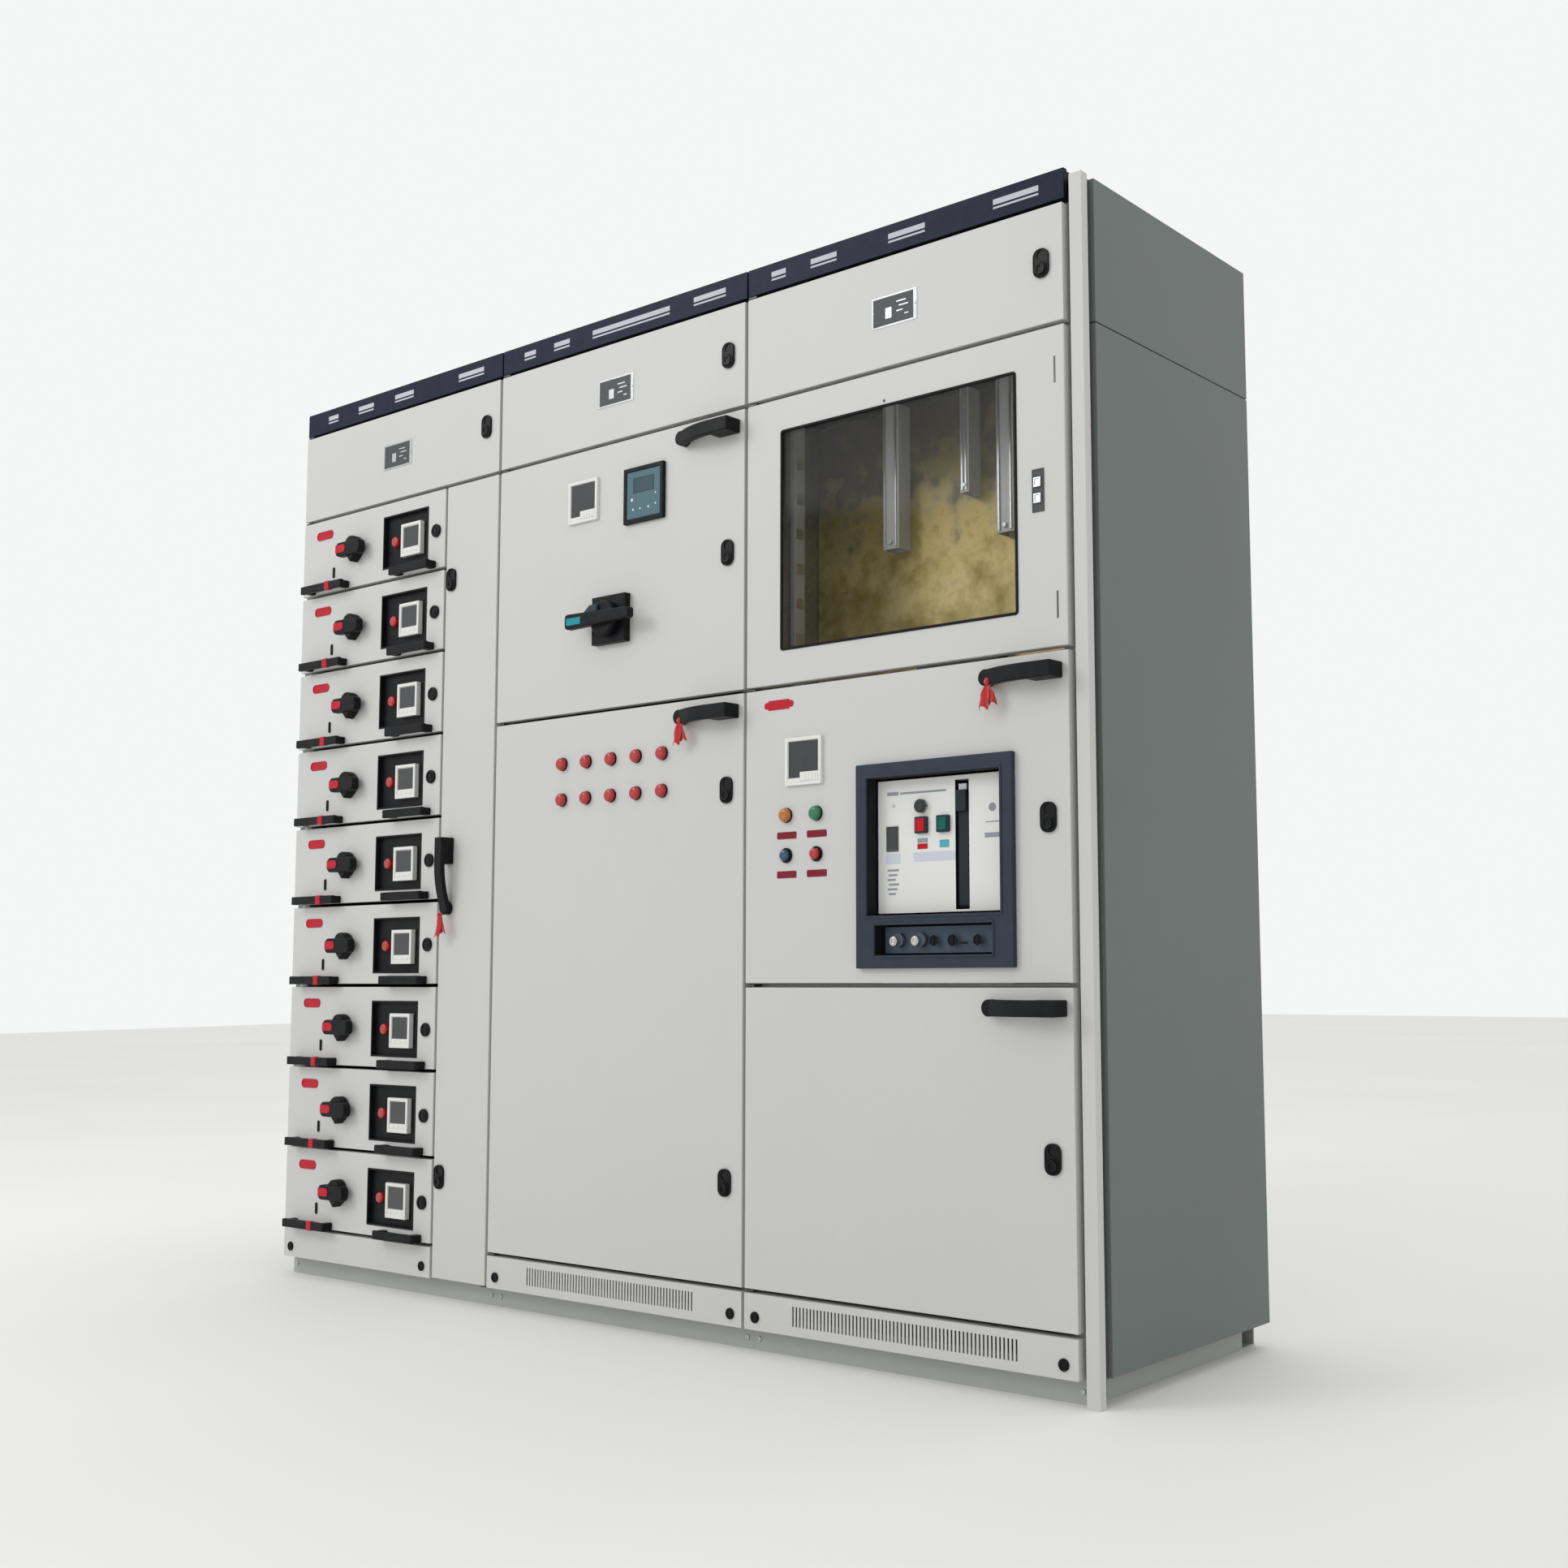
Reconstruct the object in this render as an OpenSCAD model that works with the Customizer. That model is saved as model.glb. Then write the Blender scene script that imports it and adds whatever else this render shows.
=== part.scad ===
// Three-section low-voltage switchboard: withdrawable feeder units on the left, a door
// section in the middle, and an incomer section with an air circuit breaker on the right.
// +X runs along the front to the right, -Y points out of the front, Z is up from the floor.

/* [Line-up] */
// Width of one section
section_w = 800; // [700:10:1000]
// Depth of the steel frame
frame_d = 600; // [500:10:800]
// Height of the plinth
base_h = 44; // [40:1:100]
// Height of the kick plates
kick_h = 76; // [70:1:120]
// Height of one drawer module
module_h = 200; // [190:1:240]
// Height of the top doors
top_door_h = 230; // [200:5:320]
// Height of the header boards
board_h = 62; // [50:1:90]

/* [Frame] */
// Side of the square frame posts
post = 30; // [25:1:40]
// Wall of the frame tubes
post_wall = 2.5; // [2:0.5:4]
// Height of the cross rails
rail_h = 24; // [18:1:28]
// Thickness of the inner sheets
sheet = 2; // [1.5:0.5:3]
// Wall of the plinth channel
base_wall = 4; // [3:0.5:6]
// Flange of the plinth channel
base_flange = 50; // [40:1:60]
// Radius of an anchor hole
anchor_r = 7; // [5:0.5:9]
// How far the plinth stands back from the frame
base_back = 4; // [0:1:20]
// Space left between bolted or welded members
weld = 0.2; // [0.1:0.1:0.3]

/* [Doors] */
// Depth of a folded door pan
pan_t = 22; // [18:1:30]
// Width of the gap between neighbouring doors
gap = 8; // [6:1:12]
// Space between a door and the frame, which the seal fills
seat = 6; // [5:0.5:10]
// Distance from a door's hinge edge to its pivot
pivot_in = 12; // [10:0.5:16]
// Radius of a hinge pin
pin_r = 3; // [2.5:0.25:4]
// Radial clearance of a pin in its hole
pin_clear = 0.08; // [0.04:0.01:0.1]
// Length of a pull handle on a door
pull_l = 160; // [120:5:200]
// How far the pull handles stand out
pull_out = 45; // [35:1:60]
// Distance of a lock from the closing edge
lock_in = 50; // [45:1:70]
// Radius of a lock core
lock_r = 9; // [7:0.5:11]

// Depth from the window door's front to the plate behind it
bay_depth = 222; // [180:1:420]

/* [Feeder units] */
// Number of drawers
drawers = 9; // [6:1:9]
// Width of the drawer modules
drawer_w = 600; // [560:10:660]
// Space behind a drawer tray, for its plug and the droppers
tray_back = 116; // [116:1:200]
// Height of a tray wall
tray_h = 130; // [100:5:150]
// Width of a runner
runner_w = 10; // [8:1:14]
// Gap between a runner and a tray
run_clear = 0.3; // [0.2:0.1:0.6]
// Width of the sunk instrument panel
panel_w = 178; // [150:1:190]
// Height of the sunk instrument panel
panel_h = 130; // [120:1:150]
// Depth of the sunk instrument panel
panel_sink = 10; // [6:1:14]
// Length of a drawer handle
unit_pull_l = 164; // [100:4:176]
// How far a drawer handle stands out
unit_pull_out = 30; // [26:1:50]

/* [Instruments] */
// Side of the panel meters
meter = 96; // [90:1:100]
// Side of a drawer's meter
unit_meter_w = 78; // [70:1:84]
// Side of the power controller
controller = 124; // [110:1:150]
// How far the meter bezels stand out
bezel_out = 7; // [4:1:12]
// Radius of a lamp bezel
lamp_r = 15; // [12:0.5:17]
// Spacing of the lamps and buttons
lamp_pitch = 80; // [60:1:90]
// Travel of a push-button
press = 4; // [2:0.5:5]

/* [Breaker] */
// Width of the door frame round the breaker
surround_w = 370; // [350:5:400]
// Height of the door frame round the breaker
surround_h = 390; // [380:5:410]
// Width of the breaker's front
face_w = 306; // [290:2:320]
// Height of the breaker's front
face_h = 254; // [240:2:270]
// Depth of the breaker behind its front
breaker_d = 330; // [250:10:380]
// Gap round the breaker in the door frame
face_clear = 4; // [3:0.5:8]
// Travel of the breaker to its disconnected place
rack = 50; // [30:5:60]

/* [End covers] */
// Width of the corner trim
trim_w = 28; // [20:1:40]
// How far a side cover stands out
cover_out = 40; // [30:1:60]
// Depth of the side cover's raised pan
cover_pan = 18; // [12:1:30]

/* [Hidden] */
$fn = 48;
e = 0.01;
full_w = 3 * section_w;
x_left = -full_w / 2;
x_right = full_w / 2;
x_mid = section_w / 2;
unit_x1 = x_left + drawer_w;
z_kick = base_h;
z_door = base_h + kick_h;
zone_h = drawers * module_h;
z_top = z_door + zone_h;
z_board = z_top + top_door_h;
z_end = z_board + board_h;
z_roof = z_end - 14;
y_frame = -frame_d / 2;
y_back = frame_d / 2;
y_pan = y_frame - seat;
y_front = y_pan - pan_t;
third = zone_h / 3;
z_two = z_door + 2 * third;
z_one = z_door + third;
sections = [x_left, -section_w / 2, section_w / 2];
shelf_t = sheet;
flange_w = 44;
anchor_in = base_flange - 15;
dropper_rails = [z_door + module_h / 2, z_door + zone_h / 2, z_top - rail_h - 80];
dropper_y = y_back - post - 45;
plate_y = y_back - post - 3;
bar_y0 = 60;
bar_z = z_top + 90;
bar_pitch = 45;
bar_t = 10;
bar_h = 60;
bar_air = 15;
channel = 40;
bay_y = y_front + bay_depth;
// Channels in the window bay: place from its left wall, width and length
bay_channels = [[218, 42, 306], [420, 22, 218], [510, 42, 315]];
wall_y0 = y_frame + post;
wall_d = frame_d - 2 * post;
divider_w = 15;
runner_z = 40;
runner_x = x_left + post + weld;
tray_x0 = runner_x + runner_w + run_clear;
tray_x1 = unit_x1 - divider_w - runner_w - run_clear;
tray_w = tray_x1 - tray_x0;
tray_d = frame_d + seat - tray_back;
tray_z = 30;
// Places on a drawer front, from its module's lower left corner
unit_switch = [239, 97];
unit_panel = [440, 96];
unit_lock = [564, 96];
unit_lamp = [395, 97];
unit_meter = [462, 92];
unit_pull_z = 13;
switch_back = 40;
unit_pulls = [126, 490];
// Places on the doors, as X and Z
top_lock_z = z_top + 108;
cable_lock = [unit_x1 + 27, z_top - 245];
cable_lock_low = [unit_x1 + 27, z_door + 148];
upper_lock = [x_mid - lock_in, z_top - 315];
lower_locks = [[x_mid - lock_in, z_two - 212], [x_mid - lock_in, z_door + 195]];
breaker_lock = [x_right - lock_in, z_one + 287];
base_lock = [x_right - lock_in, z_door + 287];
upper_meter = [-100, z_top - 121];
upper_controller = [99, z_top - 136];
isolator = [0, z_top - 403];
isolator_base = 106;
isolator_h = 16;
lamp_x0 = -2 * lamp_pitch;
lamp_z = z_two - 110;
pull_in = 97;
pull_drop = 40;
incomer_meter = [section_w / 2 + 165, z_two - 157];
button_x = section_w / 2 + 117;
button_z = z_two - 263;
surround_x = section_w / 2 + 492;
surround_z = z_one + 227;
face_top = 36;
face_z = surround_z + face_top;
face_y = y_front + 18;
lever_x = surround_x + 50;
lever_z = face_z - face_h / 2 + 14;
lever_l = 214;
knob_x = surround_x - 44;
on_x = surround_x + 8;
press_z = face_z + 38;
strip_z = surround_z - 142;
strip_h = 50;
strip_w = 270;
rack_room = rack + 35;
window_w = 585;
window_h = 452;
window_x = (section_w / 2 + x_right) / 2 - 6;
window_z = z_two + third / 2;
glass_t = 4;

// Basic shapes

// A box from its lowest corner and its size
module block(at, size) translate(at) cube(size);

// A round bar along Y from y0, going back
module bar_y(x, y0, z, r, l) translate([x, y0, z]) rotate([-90, 0, 0]) cylinder(r = r, h = l);

// A rectangular tube, open at both ends along one axis: 0 for X, 1 for Y, 2 for Z
module tube(at, size, along, wall = post_wall) difference() {
    block(at, size);
    block([for (k = [0:2]) at[k] + (k == along ? -1 : wall)],
          [for (k = [0:2]) size[k] + (k == along ? 2 : -2 * wall)]);
}

// A folded pan, open at the back: front sheet and four returned edges
module pan(x0, x1, z0, z1, y = y_front, t = pan_t) difference() {
    block([x0, y, z0], [x1 - x0, t, z1 - z0]);
    block([x0 + sheet, y + sheet, z0 + sheet],
          [x1 - x0 - 2 * sheet, t, z1 - z0 - 2 * sheet]);
}

// A door in its module, with pivot holes in its upper and lower edges
module door(x0, x1, z0, z1, right = false) {
    px = right ? x1 - gap / 2 - pivot_in : x0 + gap / 2 + pivot_in;
    difference() {
        pan(x0 + gap / 2, x1 - gap / 2, z0 + gap / 2, z1 - gap / 2);
        translate([px, y_front + pan_t / 2, z0 - 1])
            cylinder(r = pin_r + pin_clear, h = z1 - z0 + 2);
    }
}

// A round hole for a lock core through a door sheet
module lock_hole(p) bar_y(p[0], y_front - 1, p[1], lock_r + pin_clear, sheet + 2);

// A lock core with its head, slot and cam
module lock(p) {
    color("#202124") union() {
        difference() {
            bar_y(p[0], y_front - 3, p[1], lock_r + 3, 3);
            block([p[0] - 1.5, y_front - 4, p[1] - 6], [3, 2.5, 12]);
        }
        bar_y(p[0], y_front - e, p[1], lock_r, sheet + 9);
        block([p[0] - 6, y_front + sheet + 9 - e, p[1] - 30], [12, 3, 38]);
    }
}

// A bridge-shaped pull handle: two feet and a grip, along X or along Z
module pull(x, z, l, out, upright = false, foot = 18, grip = 14) {
    translate([x, y_front, z]) rotate([0, upright ? 90 : 0, 0]) color("#1c1d1f") {
        for (s = [-1, 1])
            translate([s * (l / 2 - foot / 2) - foot / 2, -out + grip + weld, -grip])
                cube([foot, out - grip - 2 * weld, 2 * grip]);
        translate([-l / 2, -out, -grip]) cube([l, grip, 2 * grip]);
    }
}

// A round dome or button on a black or bright ring
module lamp(x, z, r = lamp_r) {
    color("#c9cbcc") bar_y(x, y_front - 5, z, r, 5);
    color("#c11c1c") bar_y(x, y_front - 14, z, r - 4, 9);
    color("#202124") bar_y(x, y_front - e, z, r - 5, 18);
}

// A square meter with its bezel, screen and housing behind the sheet
module square_meter(x, z, side, y = y_front, deep = 18) {
    color("#e4e5e3") difference() {
        block([x - side / 2, y - bezel_out, z - side / 2], [side, bezel_out, side]);
        block([x - side * 0.38, y - bezel_out - 1, z - side * 0.2],
              [side * 0.76, 2.5, side * 0.56]);
    }
    color("#303438") block([x - side * 0.46, y, z - side * 0.46],
                           [side * 0.92, deep, side * 0.92]);
}

// A square hole for a meter
module meter_hole(x, z, side) block([x - side * 0.46 - 0.3, y_front - 1, z - side * 0.46 - 0.3],
                                    [side * 0.92 + 0.6, sheet + 2, side * 0.92 + 0.6]);

// Structure

// A plinth channel along X with two anchor holes in its lower flange; back is true at the rear
module plinth_bar(x, back) {
    y0 = y_frame + base_back;
    y1 = y_back - base_back;
    difference() {
        union() {
            block([x + weld, back ? y1 - base_flange : y0, 0],
                  [section_w - 2 * weld, base_flange, base_wall]);
            block([x + weld, back ? y1 - post : y0, base_h - base_wall],
                  [section_w - 2 * weld, post, base_wall]);
            block([x + weld, back ? y1 - base_wall : y0, 0],
                  [section_w - 2 * weld, base_wall, base_h]);
        }
        for (k = [1, 3]) translate([x + k * section_w / 4,
                                    back ? y1 - anchor_in : y0 + anchor_in, -1])
            cylinder(r = anchor_r, h = base_wall + 2);
    }
}

module base_frames() color("#b9bbb8") for (x = sections) {
    inner = frame_d - 2 * base_back - 2 * base_flange - 2 * weld;
    for (back = [false, true]) plinth_bar(x, back);
    for (dx = [weld, section_w - post - weld])
        tube([x + dx, y_frame + base_back + base_flange + weld, 0], [post, inner, base_h], 1,
             base_wall);
}

// Two tubes between the posts along X, at the front and the back, with their tops at z
module rails(x0, x1, z) for (y = [y_frame, y_back - post])
    tube([x0 + weld, y, z - rail_h], [x1 - x0 - 2 * weld, post, rail_h], 0);

module frame() color("#a9acaa") {
    for (x = sections) {
        for (dx = [weld, section_w - post - weld], y = [y_frame, y_back - post])
            tube([x + dx, y, base_h], [post, post, z_roof - sheet - base_h], 2);
        for (z = [base_h + rail_h, z_top, z_roof - sheet])
            rails(x + post + weld, x + section_w - post - weld, z);
        for (dx = [weld, section_w - post - weld], z = [base_h, z_roof - sheet - rail_h])
            tube([x + dx, wall_y0 + weld, z], [post, wall_d - 2 * weld, rail_h], 1);
    }
    rails(-x_mid + post + weld, x_mid - post - weld, z_two);
    for (z = [z_one, z_two]) rails(x_mid + post + weld, x_right - post - weld, z);
    for (y = [y_frame, y_back - post])
        tube([unit_x1 - divider_w, y, base_h + rail_h + shelf_t + weld],
             [divider_w, post, z_top - base_h - 2 * rail_h - shelf_t - 2 * weld], 2);
    for (z = dropper_rails)
        tube([x_left + post + 2 * weld, y_back - post, z],
             [drawer_w - post - divider_w - 4 * weld, post, rail_h], 0);
}

// A sheet on top of a pair of rails
module shelf(x0, x1, z) block([x0 + weld, y_frame, z], [x1 - x0 - 2 * weld, frame_d, shelf_t]);

module partitions() color("#c9cbc8") {
    for (x = sections) {
        for (z = [base_h + rail_h, z_top])
            shelf(x + post + weld, x + section_w - post - weld, z);
    }
    shelf(-x_mid + post + weld, x_mid - post - weld, z_two);
    for (z = [z_one, z_two]) shelf(x_mid + post + weld, x_right - post - weld, z);
    for (x = [-x_mid, x_mid]) difference() {
        block([x + weld, wall_y0 + weld, base_h + rail_h],
              [sheet, wall_d - 2 * weld, z_roof - base_h - 2 * rail_h - sheet]);
        block([x - 1, bar_y0 - bar_air, bar_z - bar_air],
              [sheet + 3, 3 * bar_pitch + bar_t + 2 * bar_air, bar_h + 2 * bar_air]);
    }
    block([unit_x1 - divider_w, wall_y0 + weld, base_h + rail_h + shelf_t + weld],
          [sheet, wall_d - 2 * weld, z_top - base_h - rail_h - shelf_t - 2 * weld]);
}

module roof_covers() color("#d2d3d0") for (x = sections) {
    block([x + weld, y_frame, z_roof - sheet], [section_w - 2 * weld, frame_d, sheet]);
    block([x + 80, -frame_d / 4, z_roof + weld], [section_w - 160, frame_d / 2, 6]);
}

// A shell 2 mm thick that is open towards the frame: side is 1 at the right end, -1 at the left
module end_shell(side, from, to, y0, y1, z0, z1) {
    lo = side > 0 ? x_right + from : x_left - to;
    inner = side > 0 ? lo - 1 : lo + sheet;
    difference() {
        block([lo, y0, z0], [to - from, y1 - y0, z1 - z0]);
        block([inner, y0 + sheet, z0 + sheet],
              [to - from - sheet + 1, y1 - y0 - 2 * sheet, z1 - z0 - 2 * sheet]);
    }
}

// One end cover: two flange channels on the posts, and a raised cover in two lengths
module end_cover(side) color("#78807d") {
    flange = cover_out - cover_pan;
    for (y = [y_frame, y_back - flange_w])
        end_shell(side, 0, flange, y, y + flange_w, base_h, z_roof);
    for (z = [[base_h + 6, z_top - 1], [z_top + 1, z_roof - 6]])
        end_shell(side, flange + weld, cover_out, y_frame + 12, y_back - 12, z[0], z[1]);
}

module side_covers() {
    end_cover(1);
    end_cover(-1);
    color("#cfd0cd") tube([x_right + 6, y_front + 8, 0],
                          [trim_w, pan_t + seat - 8 - weld, z_roof], 2, sheet);
}

module rear_covers() color("#c4c6c3") for (x = sections)
    pan_back(x + 3, x + section_w - 3, base_h + 3, z_roof - 3);

// A cover pan on the back, open towards the frame
module pan_back(x0, x1, z0, z1, t = 20) difference() {
    block([x0, y_back, z0], [x1 - x0, t, z1 - z0]);
    block([x0 + sheet, y_back - 1, z0 + sheet],
          [x1 - x0 - 2 * sheet, t - sheet + 1, z1 - z0 - 2 * sheet]);
}

module name_boards() for (x = sections) {
    color("#171c34") block([x + 2, y_front + 4, z_board + gap / 2],
                           [section_w - 4, 12, board_h - gap / 2]);
    color("#202225") block([x + 2, y_front + 16, z_board + gap / 2],
                           [section_w - 4, y_frame - y_front - 16, board_h - gap / 2 - 4]);
}

// A kick plate, with a field of upright slots if slots is above 0
module kick(x0, x1, slots) difference() {
    pan(x0 + gap / 2, x1 - gap / 2, z_kick + 2, z_door - gap / 2, y_front, pan_t + seat);
    for (i = [0:1:slots - 1])
        block([(x0 + x1) / 2 + (i - (slots - 1) / 2) * 9 - 2, y_front - 1, z_kick + 20],
              [4, sheet + 2, kick_h - 38]);
}

module kick_plates() color("#cfd0cd") {
    kick(x_left, unit_x1, 0);
    kick(-x_mid, x_mid, 58);
    kick(x_mid, x_right, 60);
}

// Mounting plates of passivated steel on the rear posts, from shelf to shelf
module plate(x0, x1, z0, z1) color("#b3a05c")
    block([x0 + sheet + 1, plate_y, z0 + shelf_t + weld],
          [x1 - x0 - sheet - 2, 3, z1 - z0 - shelf_t - 2 * weld]);

// The window bay's plate stands on angles between its shelves, with channels hung in front of
// it and a slotted upright on the wall beside it
module bay_plate() {
    z0 = z_two + shelf_t + weld;
    h = z_top - z0 - weld;
    color("#b3a05c") block([x_mid + sheet + 1, bay_y, z0], [section_w - sheet - 2, 3, h]);
    color("#c9ccd0") {
        for (z = [z0, z0 + h - 3])
            block([x_mid + post + weld, bay_y + 3 + weld, z], [section_w - 2 * post - 2 * weld, 30, 3]);
        for (c = bay_channels)
            tube([x_mid + c[0], bay_y - channel - weld, z_top - weld - c[2]], [c[1], channel, c[2]], 2, sheet);
        tube([x_mid + sheet + 2 * weld, bay_y - 89, z0], [12, 33, h], 2, sheet);
    }
}

module mounting_plates() {
    for (z = [[z_two, z_top], [base_h + rail_h, z_two]]) plate(-x_mid, x_mid, z[0], z[1]);
    for (z = [[z_one, z_two], [base_h + rail_h, z_one]]) plate(x_mid, x_right, z[0], z[1]);
    bay_plate();
}

// One runner each side for every drawer, fixed to the frame's posts
module drawer_runners() color("#b8bbbd") for (i = [0:drawers - 1]) {
    z = z_door + i * module_h + runner_z;
    block([runner_x, y_frame + 1, z], [runner_w, frame_d - 2, 28]);
    block([unit_x1 - divider_w - runner_w, y_frame + 1, z], [runner_w, frame_d - 2, 28]);
}

// Three phase bars and a neutral along the top, and droppers behind the drawers
module busbars() color("#b5703c") {
    for (i = [0:3]) block([x_left + 40, bar_y0 + i * bar_pitch, bar_z], [full_w - 80, bar_t, bar_h]);
    for (i = [0:2]) block([x_left + 150 + i * 110, dropper_y, z_door + 20],
                          [40, 10, zone_h - rail_h - 40]);
}

module busbar_supports() color("#7c2b24") {
    for (x = sections, dx = [100, section_w - 140])
        block([x + dx, bar_y0 - 15, z_top + shelf_t],
              [40, 3 * bar_pitch + bar_t + 30, bar_z - z_top - shelf_t]);
    for (z = dropper_rails) block([x_left + 120, dropper_y + 10, z], [320, 35, rail_h]);
}

// Side plates, base and racking strip that carry the breaker
module breaker_cradle() {
    depth = breaker_d + rack_room - 30;
    y0 = y_front + 30;
    z0 = z_one + shelf_t;
    color("#9a9ea3") {
        for (s = [-1, 1])
            block([surround_x + s * (face_w / 2 + 2 + run_clear) - 2, y0, z0],
                  [4, depth, surround_h - 40]);
        block([surround_x - face_w / 2 - run_clear + weld, y0, z0],
              [face_w + 2 * (run_clear - weld), depth, 4]);
    }
    color("#3b434f") {
        block([surround_x - strip_w / 2, y_front + 16, strip_z - strip_h / 2],
              [strip_w, 14, strip_h]);
        block([surround_x - face_w / 2 - run_clear + weld, y0 - e, strip_z - strip_h / 2],
              [face_w + 2 * (run_clear - weld), 6, strip_h]);
    }
    color("#d5d8da") for (dx = [-96, -43]) bar_y(surround_x + dx, y_front + 6, strip_z, 13, 10);
}

// A pivot: a plate from the frame into the gap, with a pin up and down from it
module pivot(x, z, up = true, down = true, right = false) {
    color("#d8dadb") {
        block([right ? x - 8 : x - pivot_in - 2, y_front + pan_t / 2 - 6, z - 1.5],
              [pivot_in + 10, y_frame - y_front - pan_t / 2 + 6, 3]);
        translate([x, y_front + pan_t / 2, z - (down ? 9 : 1.5)])
            cylinder(r = pin_r, h = (down ? 9 : 1.5) + (up ? 9 : 1.5));
    }
}

module hinge_pivots() {
    a = gap / 2 + pivot_in;
    for (x = sections) pivot(x + a, z_board - e + 1.5, up = false);
    pivot(x_left + a, z_top, down = false);
    for (z = [z_two, z_top]) pivot(-x_mid + a, z);
    pivot(-x_mid + a, z_door, down = false);
    for (z = [z_one, z_two, z_top]) pivot(x_mid + a, z);
    pivot(x_mid + a, z_door, down = false);
    pivot(-x_mid - a, z_top, up = false, right = true);
    pivot(-x_mid - a, z_kick + 1.5, down = false, right = true);
}

// Hexagon screws that hold the end covers
module cover_screws() color("#c8cacb") for (s = [-1, 1], y = [y_frame + 6, y_back - 6])
    for (z = [base_h + 80, z_door + 500, z_door + 900, z_door + 1300, z_top + 160])
        translate([s > 0 ? x_right + cover_out - cover_pan : x_left - cover_out + cover_pan, y, z])
            rotate([0, s * 90, 0]) cylinder(r = 4.5, h = 5, $fn = 6);

// Doors

module top_door(i) color("#d3d4d1") difference() {
    door(sections[i], sections[i] + section_w, z_top, z_board);
    lock_hole([sections[i] + section_w - lock_in, top_lock_z]);
}
module top_lock(i) lock([sections[i] + section_w - lock_in, top_lock_z]);

module cable_door() {
    color("#d3d4d1") door(unit_x1, -x_mid, z_kick, z_top, right = true);
    pull(unit_x1 + 42, z_door + 860, 185, 40, upright = true);
    for (p = [cable_lock, cable_lock_low]) color("#202124") bar_y(p[0], y_front - 3, p[1], 12, 3);
}

module upper_door() {
    color("#d3d4d1") difference() {
        door(-x_mid, x_mid, z_two, z_top);
        lock_hole(upper_lock);
        meter_hole(upper_meter[0], upper_meter[1], meter);
        meter_hole(upper_controller[0], upper_controller[1], controller);
        bar_y(isolator[0], y_front - 1, isolator[1], 8, sheet + 2);
    }
}

module upper_instruments() {
    square_meter(upper_meter[0], upper_meter[1], meter);
    square_meter(upper_controller[0], upper_controller[1], controller);
    color("#1c1d1f") difference() {
        block([isolator[0] - isolator_base / 2, y_front - isolator_h, isolator[1] - isolator_base / 2],
              [isolator_base, isolator_h, isolator_base]);
        bar_y(isolator[0], y_front - isolator_h - 1, isolator[1], 6 + pin_clear, isolator_h + 2);
    }
    pull(x_mid - pull_in, z_top - pull_drop, pull_l, pull_out);
}

// Long lever of the main isolator, with its shaft through the door
module isolator_handle() {
    y0 = y_front - isolator_h;
    color("#1c1d1f") union() {
        bar_y(isolator[0], y0 - 14.3, isolator[1], 24, 14);
        block([isolator[0] - 105, y0 - 34.3, isolator[1] - 12], [205, 20 + e, 24]);
        bar_y(isolator[0], y0 - 1, isolator[1], 6, isolator_h + sheet + 12);
    }
}

module lower_door() {
    color("#d3d4d1") difference() {
        door(-x_mid, x_mid, z_door, z_two);
        lock_hole(lower_locks[0]);
        for (i = [0:4], k = [0, 1])
            bar_y(lamp_x0 + i * lamp_pitch, y_front - 1, lamp_z - k * lamp_pitch,
                  lamp_r - 4.7, sheet + 2);
    }
    pull(x_mid - pull_in, z_two - pull_drop, pull_l, pull_out);
    color("#202124") bar_y(lower_locks[1][0], y_front - 3, lower_locks[1][1], 12, 3);
}

module signal_lamps() for (i = [0:4], k = [0, 1])
    lamp(lamp_x0 + i * lamp_pitch, lamp_z - k * lamp_pitch);

module window_door() color("#d3d4d1") difference() {
    door(x_mid, x_right, z_two, z_top);
    block([window_x - window_w / 2, y_front - 1, window_z - window_h / 2],
          [window_w, pan_t, window_h]);
}

// Laminated pane behind the cut-out, with its rubber edge on the front
module window_glass() {
    lap = 14;
    color("#9fb4b8", 0.4)
        block([window_x - window_w / 2 - lap, y_front + sheet, window_z - window_h / 2 - lap],
              [window_w + 2 * lap, glass_t, window_h + 2 * lap]);
}

module breaker_door() {
    color("#d3d4d1") difference() {
        door(x_mid, x_right, z_one, z_two);
        lock_hole(breaker_lock);
        meter_hole(incomer_meter[0], incomer_meter[1], meter);
        for (i = [0, 1], k = [0, 1])
            bar_y(button_x + i * lamp_pitch, y_front - 1, button_z - k * lamp_pitch,
                  lamp_r - 4.7, sheet + 2);
        block([surround_x - surround_w / 2 + 16, y_front - 1, surround_z - surround_h / 2 + 16],
              [surround_w - 32, sheet + 2, surround_h - 32]);
    }
}

// Moulded frame round the breaker, with the main opening and the racking opening
module breaker_surround() {
    open_w = face_w + 2 * face_clear;
    open_h = face_h + 2 * face_clear;
    color("#3b434f") difference() {
        union() {
            block([surround_x - surround_w / 2, y_front - 12, surround_z - surround_h / 2],
                  [surround_w, 12, surround_h]);
            block([surround_x - surround_w / 2 + 17, y_front - e, surround_z - surround_h / 2 + 17],
                  [surround_w - 34, pan_t - 2, surround_h - 34]);
        }
        block([surround_x - open_w / 2, y_front - 13, face_z - open_h / 2], [open_w, pan_t + 20, open_h]);
        block([surround_x - strip_w / 2 - 3, y_front - 13, strip_z - strip_h / 2 - 3],
              [strip_w + 6, pan_t + 20, strip_h + 6]);
    }
    square_meter(incomer_meter[0], incomer_meter[1], meter);
    for (i = [0, 1]) lamp(button_x + i * lamp_pitch, button_z);
    color("#202124") for (i = [0, 1]) difference() {
        bar_y(button_x + i * lamp_pitch, y_front - 5, button_z - lamp_pitch, lamp_r, 5);
        bar_y(button_x + i * lamp_pitch, y_front - 6, button_z - lamp_pitch, lamp_r - 4, 7);
    }
    pull(x_right - pull_in, z_two - pull_drop, pull_l, pull_out);
}

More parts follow.
